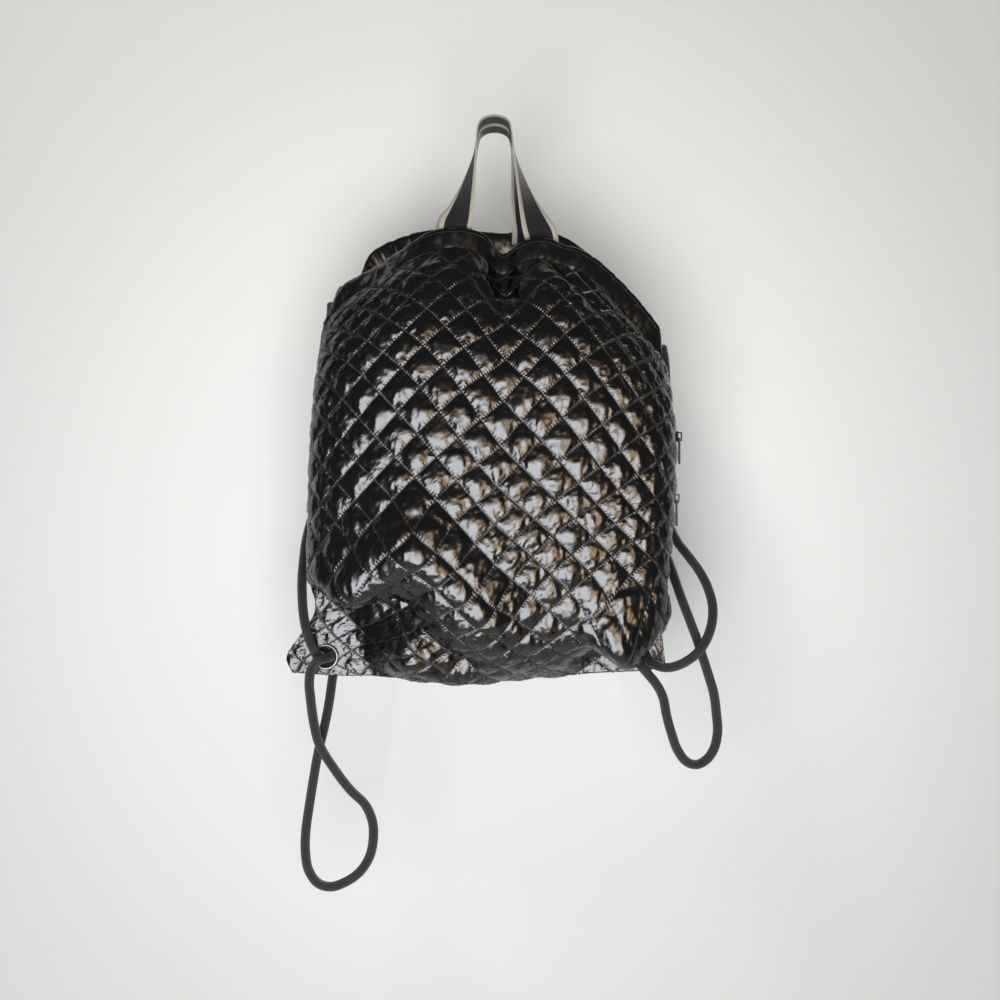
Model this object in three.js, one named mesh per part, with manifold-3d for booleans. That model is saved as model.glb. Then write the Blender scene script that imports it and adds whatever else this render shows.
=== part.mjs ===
// A quilted puffer backpack: a drawstring sack of two padded panels that hangs by its two webbing handles.
// Millimetres. X runs to the right, Y to the back and Z up. The origin is the point where the handles hang.
import * as THREE from "three";
import { mergeVertices } from "three/addons/utils/BufferGeometryUtils.js";
import Module from "manifold-3d";

const wasm = await Module();
wasm.setup();

// Driving sizes
const clearance = 0.3;
const bag = {
  span: 350, // filled width between the side seams
  drop: 427, // from the middle of the rim down to the bottom seam
  belowHook: 107, // from the hang point down to the middle of the rim
  offCentre: -5, // the bag hangs a little to the left of its hook
  frontDepth: 60, // how far the filled front stands out from the side seams
  backDepth: 55,
  roundness: 2.6, // exponent of the filled cross-section: 2 is an ellipse, more is boxier
  mouth: 36, // gap between the two casings in the middle of the mouth
};
const quilt = {
  diamond: 41, // from point to point
  across: 10, // diamonds in the width of a panel
  down: 11, // diamonds in its height
  wall: 2.5, // thickness at the stitch lines
  puff: 3.5, // how much thicker it is in the middle of a diamond
};
const casing = { height: 20, thickness: 6, ruffle: 1.6, ruffles: 22, cordGap: 0.09 };
const webbing = { width: 32, thickness: 1.8, sewnIn: 16 };
const cord = { diameter: 9.2, sides: 8, step: 29 };
const eyelet = { bore: 19.6, barrel: 1, flange: 2.6, lip: 1.4, along: 52, up: 21 };
const tab = { flat: 86, full: 140 }; // how far from a lower corner the two panels lie flat, and are filled again
const knot = { width: 27, depth: 16, ahead: 2 }; // and how far its strands reach out of the eyelet
const zip = { top: 0.79, bottom: 0.5, tape: 12, tapeThickness: 1, coil: 5, coilHeight: 2 };
const slider = { width: 9, length: 10, wall: 1.4, bridgeWidth: 1.6, bridgeBar: 1.2, window: 2.8 };
const pull = { length: 25, width: 6.4, thickness: 1.4, eyeWidth: 3.2, eyeLength: 7, crossbar: 1.6, ring: 3.2 };

const halfSpan = bag.span / 2;
const flatWidth = quilt.diamond * quilt.across;
const flatHeight = quilt.diamond * quilt.down;
const columns = 2 * quilt.across;
const rows = 2 * quilt.down;

// Outline tables. `out` is a share of half the span, from the bag's centre line, and `down` a share of the drop.
// `forward` is in shares of the diamond, towards the front. v runs up a panel, and u across it from left to right.
const leftSeam = [
  { v: 0, out: -1.09, down: 0.99 },
  { v: 0.04, out: -1.12, down: 0.955 },
  { v: 0.1, out: -1.045, down: 0.905 },
  { v: 0.17, out: -0.965, down: 0.85 },
  { v: 0.25, out: -0.985, down: 0.775 },
  { v: 0.45, out: -0.995, down: 0.58 },
  { v: 0.66, out: -0.972, down: 0.375 },
  { v: 0.85, out: -0.95, down: 0.265 },
  { v: 1, out: -0.93, down: 0.2 },
];
const rightSeam = [
  { v: 0, out: 0.975, down: 0.985 },
  { v: 0.08, out: 0.96, down: 0.93 },
  { v: 0.2, out: 0.93, down: 0.86 },
  { v: 0.35, out: 0.945, down: 0.77 },
  { v: 0.5, out: 0.975, down: 0.675 },
  { v: 0.7, out: 1.005, down: 0.49 },
  { v: 0.88, out: 0.99, down: 0.335 },
  { v: 1, out: 0.965, down: 0.292 },
];
const bottomSeam = [
  { u: 0, out: -1.09, down: 0.99, forward: 0.25 },
  { u: 0.15, out: -0.8, down: 0.997, forward: 0.3 },
  { u: 0.3, out: -0.46, down: 0.995, forward: 0.75 },
  { u: 0.45, out: -0.13, down: 1.008, forward: 0.5 },
  { u: 0.6, out: 0.17, down: 1.003, forward: -0.1 },
  { u: 0.78, out: 0.58, down: 0.996, forward: -0.45 },
  { u: 0.88, out: 0.82, down: 0.992, forward: -0.25 },
  { u: 1, out: 0.975, down: 0.985, forward: -0.2 },
];
// The top edge of each quilted panel, where the casing is sewn on. `open` is a share of half the mouth, `lean` turns
// the casing from upright (0) to lying towards the mouth (90), and `ruffle` is how strongly it is gathered.
const frontRim = [
  { u: 0, out: -0.93, down: 0.2, open: 0, lean: 10, ruffle: 0.3 },
  { u: 0.08, out: -0.79, down: 0.155, open: 0.6, lean: 20, ruffle: 0.5 },
  { u: 0.17, out: -0.61, down: 0.108, open: 0.85, lean: 35, ruffle: 0.9 },
  { u: 0.27, out: -0.42, down: 0.064, open: 1, lean: 30, ruffle: 1 },
  { u: 0.34, out: -0.27, down: 0.042, open: 1, lean: 6, ruffle: 0 },
  { u: 0.42, out: -0.1, down: 0.045, open: 1, lean: 4, ruffle: 0 },
  { u: 0.5, out: 0.08, down: 0.078, open: 0.85, lean: 4, ruffle: 0.6 },
  { u: 0.6, out: 0.3, down: 0.06, open: 1, lean: 4, ruffle: 0 },
  { u: 0.68, out: 0.46, down: 0.08, open: 0.95, lean: 10, ruffle: 1 },
  { u: 0.79, out: 0.66, down: 0.148, open: 0.8, lean: 8, ruffle: 0.5 },
  { u: 0.91, out: 0.85, down: 0.238, open: 0.55, lean: 2, ruffle: 0.3 },
  { u: 1, out: 0.965, down: 0.292, open: 0, lean: 0, ruffle: 0.3 },
];
const backRim = [
  { u: 0, out: -0.93, down: 0.2, open: 0, lean: 0, ruffle: 0.4 },
  { u: 0.08, out: -0.79, down: 0.13, open: 0.6, lean: 0, ruffle: 1 },
  { u: 0.17, out: -0.61, down: 0.07, open: 0.85, lean: 0, ruffle: 1 },
  { u: 0.27, out: -0.42, down: 0.035, open: 1, lean: 0, ruffle: 1 },
  { u: 0.34, out: -0.27, down: 0.025, open: 1, lean: 0, ruffle: 0 },
  { u: 0.42, out: -0.1, down: 0.03, open: 1, lean: 0, ruffle: 0 },
  { u: 0.5, out: 0.08, down: 0.035, open: 1, lean: 0, ruffle: 0.9 },
  { u: 0.6, out: 0.3, down: 0.03, open: 1, lean: 0, ruffle: 0 },
  { u: 0.68, out: 0.46, down: 0.065, open: 0.95, lean: 0, ruffle: 1 },
  { u: 0.79, out: 0.66, down: 0.15, open: 0.8, lean: 0, ruffle: 0.8 },
  { u: 0.91, out: 0.85, down: 0.245, open: 0.55, lean: 0, ruffle: 0.6 },
  { u: 1, out: 0.965, down: 0.292, open: 0, lean: 0, ruffle: 0.3 },
];
// How the filling spreads up the bag: `full` is a share of the depth, and `under` lowers the belly, in shares of the
// diamond, so that the bottom turns under before it rises.
const filling = [
  { v: 0, full: 0, under: 0 },
  { v: 0.05, full: 0.36, under: 0.22 },
  { v: 0.1, full: 0.62, under: 0.36 },
  { v: 0.17, full: 0.84, under: 0.36 },
  { v: 0.27, full: 0.97, under: 0.2 },
  { v: 0.42, full: 1, under: 0 },
  { v: 0.6, full: 0.93, under: 0 },
  { v: 0.75, full: 0.74, under: 0 },
  { v: 0.88, full: 0.4, under: 0 },
  { v: 1, full: 0, under: 0 },
];
// Folds run from one point of a panel to another. `reach`, `push` (outwards) and `drop` are shares of the diamond.
const frontFolds = [
  { name: "brow, left", fromU: 0.05, fromV: 0.28, toU: 0.18, toV: 0.27, reach: 0.6, push: 0.1, drop: 0.3 },
  { name: "brow, middle", fromU: 0.18, fromV: 0.27, toU: 0.32, toV: 0.35, reach: 0.6, push: 0.2, drop: 0.2 },
  { name: "brow, right", fromU: 0.32, fromV: 0.35, toU: 0.47, toV: 0.24, reach: 0.6, push: 0.2, drop: 0.25 },
  { name: "valley, left", fromU: 0.02, fromV: 0.17, toU: 0.26, toV: 0.19, reach: 0.6, push: -0.62, drop: -0.1 },
  { name: "valley, right", fromU: 0.26, fromV: 0.19, toU: 0.45, toV: 0.07, reach: 0.5, push: -0.4, drop: 0 },
  { name: "crease under the dip", fromU: 0.49, fromV: 1, toU: 0.5, toV: 0.9, reach: 0.4, push: -0.3, drop: 0 },
  { name: "pinch by the handle", fromU: 0.64, fromV: 0.98, toU: 0.72, toV: 0.9, reach: 0.35, push: -0.2, drop: 0 },
  { name: "right corner overhang", fromU: 0.82, fromV: 0.2, toU: 0.97, toV: 0.19, reach: 0.7, push: 0.3, drop: 0.5 },
];
const backFolds = [
  { name: "hollow against the wall", fromU: 0.4, fromV: 0.5, toU: 0.6, toV: 0.55, reach: 2, push: -0.25, drop: 0 },
  { name: "left sag", fromU: 0.12, fromV: 0.82, toU: 0.35, toV: 0.7, reach: 0.6, push: -0.2, drop: 0 },
  { name: "right sag", fromU: 0.9, fromV: 0.78, toU: 0.65, toV: 0.68, reach: 0.6, push: -0.2, drop: 0 },
];

const front = { side: -1, depth: bag.frontDepth, rim: frontRim, folds: frontFolds };
const back = { side: 1, depth: bag.backDepth, rim: backRim, folds: backFolds };

// Reading a table: every column is a smooth curve through its rows, with the slope of its neighbours at each row.
function readRow(table, key, at) {
  const x = THREE.MathUtils.clamp(at, table[0][key], table[table.length - 1][key]);
  let k = 0;
  while (k < table.length - 2 && table[k + 1][key] < x) k += 1;
  const [a, b] = [table[k], table[k + 1]];
  const before = table[Math.max(k - 1, 0)];
  const after = table[Math.min(k + 2, table.length - 1)];
  const width = b[key] - a[key];
  const t = (x - a[key]) / width;
  const row = {};
  for (const column of Object.keys(a)) {
    const slopeA = ((b[column] - before[column]) / (b[key] - before[key])) * width;
    const slopeB = ((after[column] - a[column]) / (after[key] - a[key])) * width;
    row[column] =
      a[column] * (2 * t ** 3 - 3 * t ** 2 + 1) +
      slopeA * (t ** 3 - 2 * t ** 2 + t) +
      b[column] * (3 * t ** 2 - 2 * t ** 3) +
      slopeB * (t ** 3 - t ** 2);
  }
  return row;
}

// Half of the filled cross-section, from the left seam round to the right one, by its length.
class HalfSection extends THREE.Curve {
  getPoint(t, target = new THREE.Vector2()) {
    const angle = Math.PI * (1 - t);
    const power = 2 / bag.roundness;
    const across = Math.sign(Math.cos(angle)) * Math.abs(Math.cos(angle)) ** power;
    return target.set(across * halfSpan, Math.abs(Math.sin(angle)) ** power * bag.frontDepth);
  }
}
const halfSection = new HalfSection();

function sectionAt(u) {
  const p = halfSection.getPointAt(THREE.MathUtils.clamp(u, 0, 1));
  return { share: (p.x / halfSpan + 1) / 2, out: p.y / bag.frontDepth };
}

// 0 in the flat corner tabs, 1 where the bag is filled.
function filledAt(u, v) {
  const fromCorner = Math.hypot(Math.min(u, 1 - u) * flatWidth, v * flatHeight);
  return THREE.MathUtils.smoothstep(fromCorner, tab.flat, tab.full);
}

const mix = THREE.MathUtils.lerp;

// The inner face of a panel before its folds.
function liningPoint(panel, u, v) {
  const [left, right] = [readRow(leftSeam, "v", v), readRow(rightSeam, "v", v)];
  const foot = readRow(bottomSeam, "u", u);
  const rim = readRow(panel.rim, "u", u);
  const [footLeft, footRight] = [bottomSeam[0], bottomSeam[bottomSeam.length - 1]];
  const [rimLeft, rimRight] = [panel.rim[0], panel.rim[panel.rim.length - 1]];
  const fill = readRow(filling, "v", v);
  const section = sectionAt(u);
  const share = mix(u, section.share, fill.full);
  const place = {};
  for (const column of ["out", "down"]) {
    const sides = mix(left[column], right[column], share);
    const footBend = foot[column] - mix(footLeft[column], footRight[column], u);
    const rimBend = rim[column] - mix(rimLeft[column], rimRight[column], u);
    place[column] = sides + footBend * (1 - v) + rimBend * v ** 1.3;
  }
  const filled = filledAt(u, v);
  const cornerForward = (u < 0.5 ? footLeft : footRight).forward;
  const seamY = -quilt.diamond * mix(cornerForward, foot.forward * (1 - v) ** 3, filled);
  const mouthY = panel.side * rim.open * (bag.mouth / 2) * v ** 2 * filled;
  const belly = panel.depth * fill.full * section.out * filled;
  return new THREE.Vector3(
    bag.offCentre + place.out * (halfSpan - quilt.wall * filled),
    seamY + mouthY + panel.side * (belly + clearance / 2),
    -bag.belowHook - place.down * bag.drop - fill.under * quilt.diamond * section.out * filled,
  );
}

// The outward normal of a face given as a function of u and v.
function normalOf(face, panel, u, v, step) {
  const [u0, u1] = [Math.max(u - step, 0), Math.min(u + step, 1)];
  const [v0, v1] = [Math.max(v - step, 0), Math.min(v + step, 1)];
  const alongU = face(panel, u1, v).sub(face(panel, u0, v));
  const alongV = face(panel, u, v1).sub(face(panel, u, v0));
  return alongU.cross(alongV).normalize().multiplyScalar(-panel.side);
}

// How strongly a fold acts at a point of the panel: 1 on its line, falling off with the distance in the flat cloth.
function foldWeight(fold, u, v) {
  const from = new THREE.Vector2(fold.fromU * flatWidth, fold.fromV * flatHeight);
  const line = new THREE.Vector2(fold.toU * flatWidth, fold.toV * flatHeight).sub(from);
  const point = new THREE.Vector2(u * flatWidth, v * flatHeight).sub(from);
  const along = THREE.MathUtils.clamp(point.dot(line) / line.lengthSq(), 0, 1);
  const distance = point.sub(line.multiplyScalar(along)).length();
  return Math.exp(-((distance / (fold.reach * quilt.diamond)) ** 2));
}

// The inner face with its folds. The seams stay where they are, because both panels are sewn into them.
const seamHold = 0.05;
const normalStep = 0.02;
function foldedPoint(panel, u, v) {
  const point = liningPoint(panel, u, v);
  const free = THREE.MathUtils.smoothstep(Math.min(u, 1 - u, v), 0, seamHold) * filledAt(u, v);
  const outward = normalOf(liningPoint, panel, u, v, normalStep);
  for (const fold of panel.folds) {
    const weight = foldWeight(fold, u, v) * free * quilt.diamond;
    point.addScaledVector(outward, fold.push * weight);
    point.z -= fold.drop * weight;
  }
  return point;
}

// Closed meshes from grids and rings of points
function meshGeometry(points, triangles) {
  const geometry = new THREE.BufferGeometry();
  geometry.setAttribute("position", new THREE.Float32BufferAttribute(points.flatMap((p) => p.toArray()), 3));
  geometry.setIndex(triangles.flat());
  return geometry;
}

// A wall between two grids of the same size, closed along its four edges. Each cell is split along its stitch line.
function wallGeometry(outer, inner, side) {
  const width = outer[0].length;
  const height = outer.length;
  const layer = width * height;
  const at = (i, j, face) => face * layer + j * width + i;
  const triangles = [];
  const quad = (a, b, c, d) => triangles.push([a, b, c], [a, c, d]);
  for (let j = 0; j + 1 < height; j += 1) {
    for (let i = 0; i + 1 < width; i += 1) {
      const corners = [[i, j], [i + 1, j], [i + 1, j + 1], [i, j + 1]];
      if ((i + j) % 2) corners.push(corners.shift());
      quad(...corners.map(([x, y]) => at(x, y, 0)));
      const turned = [corners[0], corners[3], corners[2], corners[1]];
      quad(...turned.map(([x, y]) => at(x, y, 1)));
    }
  }
  for (let i = 0; i + 1 < width; i += 1) {
    quad(at(i + 1, 0, 0), at(i, 0, 0), at(i, 0, 1), at(i + 1, 0, 1));
    quad(at(i, height - 1, 0), at(i + 1, height - 1, 0), at(i + 1, height - 1, 1), at(i, height - 1, 1));
  }
  for (let j = 0; j + 1 < height; j += 1) {
    quad(at(0, j, 0), at(0, j + 1, 0), at(0, j + 1, 1), at(0, j, 1));
    quad(at(width - 1, j + 1, 0), at(width - 1, j, 0), at(width - 1, j, 1), at(width - 1, j + 1, 1));
  }
  if (side > 0) triangles.forEach((triangle) => triangle.reverse());
  return meshGeometry([...outer.flat(), ...inner.flat()], triangles);
}

// A bar through stations, each with its place, its two directions and its outline, closed at both ends.
function loftGeometry(stations) {
  const size = stations[0].outline.length;
  const points = stations.flatMap(({ place, across, out, outline }) =>
    outline.map((p) => place.clone().addScaledVector(across, p.x).addScaledVector(out, p.y)),
  );
  const triangles = [];
  for (let k = 0; k + 1 < stations.length; k += 1) {
    for (let i = 0; i < size; i += 1) {
      const [a, b] = [k * size + i, k * size + ((i + 1) % size)];
      triangles.push([a, b, b + size], [a, b + size, a + size]);
    }
  }
  const last = (stations.length - 1) * size;
  const counterClockwise = THREE.ShapeUtils.isClockWise(stations[0].outline) ? -1 : 1;
  for (const [a, b, c] of THREE.ShapeUtils.triangulateShape(stations[0].outline, [])) {
    const cap = counterClockwise > 0 ? [a, b, c] : [c, b, a];
    triangles.push([...cap].reverse(), cap.map((k) => k + last));
  }
  const volume = triangles.reduce((sum, [a, b, c]) => sum + points[a].dot(points[b].clone().cross(points[c])), 0);
  if (volume < 0) triangles.forEach((triangle) => triangle.reverse());
  return meshGeometry(points, triangles);
}

function solidOf(geometry) {
  const bare = geometry.clone();
  bare.deleteAttribute("normal");
  bare.deleteAttribute("uv");
  const merged = mergeVertices(bare, 1e-4);
  return new wasm.Manifold(
    new wasm.Mesh({
      numProp: 3,
      vertProperties: merged.attributes.position.array,
      triVerts: new Uint32Array(merged.index.array),
    }),
  );
}

function geometryOf(solid) {
  const mesh = solid.getMesh();
  const geometry = new THREE.BufferGeometry();
  geometry.setAttribute("position", new THREE.BufferAttribute(new Float32Array(mesh.vertProperties), 3));
  geometry.setIndex(new THREE.BufferAttribute(new Uint32Array(mesh.triVerts), 1));
  return geometry;
}

// Materials
const material = (color, roughness, metalness = 0) => new THREE.MeshStandardMaterial({ color, roughness, metalness });
const materials = {
  quiltedNylon: material(0x16161a, 0.25),
  casingNylon: material(0x121214, 0.3),
  stripedWebbing: material(0x8c8678, 0.8),
  braidedCord: material(0x2a2a2a, 0.75),
  darkMetal: material(0x55555a, 0.3, 1),
  zipTape: material(0x1a1a1a, 0.85),
  blackLacquer: material(0x0d0d0f, 0.35, 0.4),
};

const group = new THREE.Group();
function addPiece(name, geometry, finish, parent = group) {
  const piece = new THREE.Mesh(geometry, finish);
  piece.name = name;
  parent.add(piece);
  return piece;
}

// Eyelets: a spool through both panels of each flat corner tab
const tabThickness = 2 * quilt.wall + clearance;
const eyeletCentre = {
  left: tabCentre(eyelet.along / flatWidth),
  right: tabCentre(1 - eyelet.along / flatWidth),
};

function tabCentre(u) {
  const v = eyelet.up / flatHeight;
  return liningPoint(front, u, v).add(liningPoint(back, u, v)).multiplyScalar(0.5);
}

function eyeletGeometry() {
  const bore = eyelet.bore / 2;
  const barrel = bore + eyelet.barrel;
  const flange = bore + eyelet.flange;
  const seat = tabThickness / 2 + clearance;
  const face = seat + eyelet.lip;
  const profile = [
    [bore, -face], [flange - 1, -face], [flange, -seat - 0.3], [flange, -seat], [barrel, -seat],
    [barrel, seat], [flange, seat], [flange, seat + 0.3], [flange - 1, face], [bore, face], [bore, -face],
  ].map(([r, y]) => new THREE.Vector2(r, y));
  return new THREE.LatheGeometry(profile, 24);
}

// Panels
function panelGeometry(panel) {
  const outer = [];
  const inner = [];
  for (let j = 0; j <= rows; j += 1) {
    outer.push([]);
    inner.push([]);
    for (let i = 0; i <= columns; i += 1) {
      const [u, v] = [i / columns, j / rows];
      const lining = foldedPoint(panel, u, v);
      const outward = normalOf(foldedPoint, panel, u, v, normalStep);
      const onSeam = i === 0 || i === columns || j === 0;
      const nextToSide = i === 1 || i === columns - 1;
      const padded = (i + j) % 2 === 1 && !onSeam && j < rows;
      const puff = padded ? quilt.puff * filledAt(u, v) * (nextToSide ? 0.5 : 1) : 0;
      const skin = lining.clone().addScaledVector(outward, quilt.wall + puff);
      if (onSeam) skin.y = panel.side * Math.max(panel.side * skin.y, panel.side * lining.y);
      inner[j].push(lining);
      outer[j].push(skin);
    }
  }
  return wallGeometry(outer, inner, panel.side);
}

function panelWithHoles(panel) {
  let solid = solidOf(panelGeometry(panel));
  for (const centre of Object.values(eyeletCentre)) {
    const hole = new THREE.CylinderGeometry(1, 1, 4 * tabThickness, 24);
    const radius = eyelet.bore / 2 + eyelet.barrel + clearance;
    hole.scale(radius, 1, radius).translate(centre.x, centre.y, centre.z);
    solid = solid.subtract(solidOf(hole));
  }
  return geometryOf(solid);
}

addPiece("front_panel", panelWithHoles(front), materials.quiltedNylon);
addPiece("back_panel", panelWithHoles(back), materials.quiltedNylon);
for (const [name, centre] of Object.entries(eyeletCentre)) {
  const ring = addPiece(`${name}_eyelet`, eyeletGeometry(), materials.darkMetal);
  ring.position.copy(centre);
}

// Casings: a flattened tube along each rim, full of drawn cord and gathered cloth
function rimPlace(panel, u) {
  const outward = normalOf(foldedPoint, panel, u, 1, normalStep);
  return foldedPoint(panel, u, 1).addScaledVector(outward, quilt.wall / 2);
}

function rimDirections(panel, u) {
  const rim = readRow(panel.rim, "u", u);
  const lean = THREE.MathUtils.degToRad(rim.lean);
  const along = rimPlace(panel, Math.min(u + normalStep, 1)).sub(rimPlace(panel, Math.max(u - normalStep, 0)));
  along.normalize();
  const up = new THREE.Vector3(0, -panel.side * Math.sin(lean), Math.cos(lean));
  up.addScaledVector(along, -up.dot(along)).normalize();
  const out = new THREE.Vector3().crossVectors(along, up).multiplyScalar(-panel.side);
  return { rim, lean, up, out };
}

const casingStations = 84;
const casingEdge = 0.42; // share of the casing's thickness at its sewn edge
function channelGeometry(panel, fromU, toU) {
  const stations = [];
  for (let k = 0; k <= casingStations; k += 1) {
    const u = mix(fromU, toU, k / casingStations);
    const { rim, lean, up, out } = rimDirections(panel, u);
    const gather = rim.ruffle * Math.sin(2 * Math.PI * casing.ruffles * u);
    const half = casing.thickness / 2;
    const start = 6 * clearance + casingEdge * half * Math.sin(lean);
    const outline = [
      [0, -casingEdge], [0, casingEdge], [0.5, 1], [1, 0.5], [1, -0.5], [0.5, -1],
    ].map(([height, thickness]) => {
      const lift = start + height * (casing.height - start) * (1 + 0.05 * gather);
      return new THREE.Vector2(lift, thickness * half + height * casing.ruffle * gather);
    });
    stations.push({ place: rimPlace(panel, u), across: up, out, outline });
  }
  return loftGeometry(stations);
}

addPiece("front_channel", channelGeometry(front, 0, 1), materials.casingNylon);
addPiece("back_channel", channelGeometry(back, casing.cordGap, 1 - casing.cordGap), materials.casingNylon);

// Handles: flat webbing that is sewn inside a rim, turns a quarter on its way up and lies over the hook
const handleSeats = {
  front: { panel: front, left: 0.375, right: 0.592 },
  back: { panel: back, left: 0.365, right: 0.56 },
};
const arch = { left: -17.5, right: 15, shoulder: 12, crown: -1 };
// `up` is a share of the way from the rim to the hook, `out` one from the arch out to the seat, `turn` of a quarter.
const handleLeg = [
  { up: 0, out: 1, turn: 0 },
  { up: 0.1, out: 0.92, turn: 0.2 },
  { up: 0.22, out: 0.74, turn: 0.42 },
  { up: 0.38, out: 0.48, turn: 0.6 },
  { up: 0.55, out: 0.27, turn: 0.8 },
  { up: 0.73, out: 0.09, turn: 0.95 },
  { up: 0.88, out: 0, turn: 1 },
];

// Where a leg is sewn in: against the inner face of the casing, over the whole width of the webbing.
function seatPlace(panel, u) {
  const reach = (webbing.width / 2 + clearance) / flatWidth;
  const inner = [u - reach, u, u + reach].map((x) => {
    const { up, out } = rimDirections(panel, x);
    return rimPlace(panel, x).addScaledVector(up, casing.height / 2).addScaledVector(out, -casing.thickness / 2).y;
  });
  const deepest = Math.max(...inner.map((y) => -panel.side * y)) + clearance;
  const place = rimPlace(panel, u);
  place.y = -panel.side * (deepest + clearance + webbing.thickness / 2);
  place.z += casing.height + 5 * clearance;
  return place;
}

function handleGeometry({ panel, left, right }) {
  const legStations = (seatU, archX, mirror) => {
    const seat = seatPlace(panel, seatU);
    const archY = panel.side * (webbing.width / 2 + clearance / 2);
    const placeAt = ({ up, out, turn }) => {
      const angle = (turn * Math.PI) / 2;
      return {
        place: new THREE.Vector3(mix(archX, seat.x, out), mix(seat.y, archY, Math.min(up / 0.5, 1)), mix(seat.z, 0, up)),
        across: new THREE.Vector3(mirror * Math.cos(angle), -Math.sin(angle), 0),
      };
    };
    const foot = placeAt(handleLeg[0]);
    foot.place.z -= webbing.sewnIn;
    return [foot, ...handleLeg.map(placeAt)];
  };
  const crownStations = [-0.85, -0.5, 0, 0.5, 0.85].map((share) => {
    const reach = share < 0 ? arch.crown - arch.left : arch.right - arch.crown;
    const height = Math.sqrt(1 - share ** 2) - 1;
    return {
      place: new THREE.Vector3(
        arch.crown + share * reach,
        panel.side * (webbing.width / 2 + clearance / 2),
        webbing.thickness / 2 + height * arch.shoulder,
      ),
      across: new THREE.Vector3(0, -1, 0),
    };
  });
  const path = [
    ...legStations(left, arch.left, 1),
    ...crownStations,
    ...legStations(right, arch.right, -1).reverse(),
  ];
  const outline = [[-1, -1], [1, -1], [1, 1], [-1, 1]].map(
    ([x, y]) => new THREE.Vector2((x * webbing.width) / 2, (y * webbing.thickness) / 2),
  );
  const stations = path.map(({ place, across }, k) => {
    const along = path[Math.min(k + 1, path.length - 1)].place.clone().sub(path[Math.max(k - 1, 0)].place);
    const flat = across.clone().addScaledVector(along, -across.dot(along) / along.lengthSq()).normalize();
    return { place, across: flat, out: along.clone().cross(flat).normalize(), outline };
  });
  return loftGeometry(stations);
}

addPiece("front_handle", handleGeometry(handleSeats.front), materials.stripedWebbing);
addPiece("back_handle", handleGeometry(handleSeats.back), materials.stripedWebbing);

// Cords: two strands on each side, from behind the shoulder down to the corner eyelet. Each route is a list of points
// on its centreline, chosen from how the cords hang.
const cordRoutes = {
  left_cord_upper: [
    [-160.5, 9.5, -173.5], [-162, 18, -181], [-165, 27, -197], [-167, 36, -225], [-168, 43, -260],
    [-169, 47, -300], [-173, 45, -338], [-180, 35, -370], [-184.8, 24, -393], [-186.5, 14, -407],
    [-187.2, 6, -422], [-187.5, -3, -441], [-186, -11, -461], [-183, -18, -480], [-178.5, -22, -495],
    [-173, -24, -507], [-169.6, -21.3, -513.4],
  ],
  left_cord_loop: [
    [-149, 13, -157], [-153, 16, -163], [-155.5, 23, -173], [-156, 33, -190], [-155.5, 43, -217], [-154, 49, -250],
    [-152, 55, -300], [-150, 58, -350], [-150, 55, -410], [-152, 45, -460], [-156, 30, -505], [-160, 18, -534.5],
    [-163, 11, -560.7], [-166.8, 7, -583], [-172.7, 3, -609], [-176.5, 1, -631.5], [-180.4, 0, -656.7],
    [-184.3, 0, -684.8], [-184.8, 0, -704.2], [-181.8, 0, -722.5], [-172.7, 0, -735.5], [-160, 0, -739.1],
    [-145.5, 0, -734.3], [-131.9, 0, -724.6], [-122.2, -1, -709], [-118.8, -2, -692.6], [-119.3, -3, -676],
    [-126.1, -5, -658.6], [-140.6, -8, -643.1], [-156.2, -10, -621.8], [-169.3, -12, -599.5],
    [-174.6, -15, -577.2], [-177, -20, -552.9], [-177.5, -25, -538.4], [-175, -31, -526], [-168.5, -34, -516.5],
    [-162, -29, -514], [-159.3, -17.9, -514.5],
  ],
  right_cord_upper: [
    [162.5, 9.5, -215], [165.5, 18, -224], [168, 27, -243], [169, 36, -270], [168, 44, -305],
    [168, 47, -340], [169, 43, -368], [173, 34, -390], [179, 26, -404.5], [189, 17, -419], [198.9, 10, -433.6],
    [205.6, 4, -448], [209.5, -3, -464.6], [208.5, -9, -480.2], [203.7, -13, -494.7], [195.9, -16, -507.3],
    [186.2, -17, -516], [173.6, -16, -522.8], [163, -13.5, -524.8], [153, -9.5, -522.5], [147, -2.5, -518],
  ],
  right_cord_loop: [
    [152, 15.5, -209], [154, 24, -219], [155, 35, -238], [155, 46, -270], [153, 54, -310],
    [153, 58, -345], [157, 53, -385], [165, 42, -407], [171.5, 31, -425], [176, 21, -441], [181, 11, -458.8],
    [187.7, 5, -478.2], [195, 1, -498.6], [199.8, -1, -514.1], [205.6, -2, -532.5], [211, -3, -551.9],
    [213.4, -4, -572.3], [214.4, -4, -587.8], [211, -4, -604.3], [203.7, -4, -615], [194, -4, -619.8],
    [184.3, -4, -616.9], [176, -4, -606.3], [169.8, -5, -589.8], [164.9, -6, -572.3], [161, -8, -553.9],
    [154.5, -10.5, -541.3], [146, -12.5, -531], [138.5, -9.5, -522], [135.8, -2, -517.2],
  ],
};

function cordGeometry(points) {
  const route = new THREE.CatmullRomCurve3(points.map((p) => new THREE.Vector3(...p)), false, "centripetal");
  const section = new THREE.Shape();
  for (let k = 0; k < cord.sides; k += 1) {
    const angle = (2 * Math.PI * k) / cord.sides;
    const corner = [Math.cos(angle), Math.sin(angle)].map((x) => (x * cord.diameter) / 2);
    if (k) section.lineTo(...corner);
    else section.moveTo(...corner);
  }
  const steps = Math.round(route.getLength() / cord.step);
  return new THREE.ExtrudeGeometry(section, { steps, extrudePath: route, bevelEnabled: false });
}

for (const [name, points] of Object.entries(cordRoutes)) addPiece(name, cordGeometry(points), materials.braidedCord);

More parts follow.
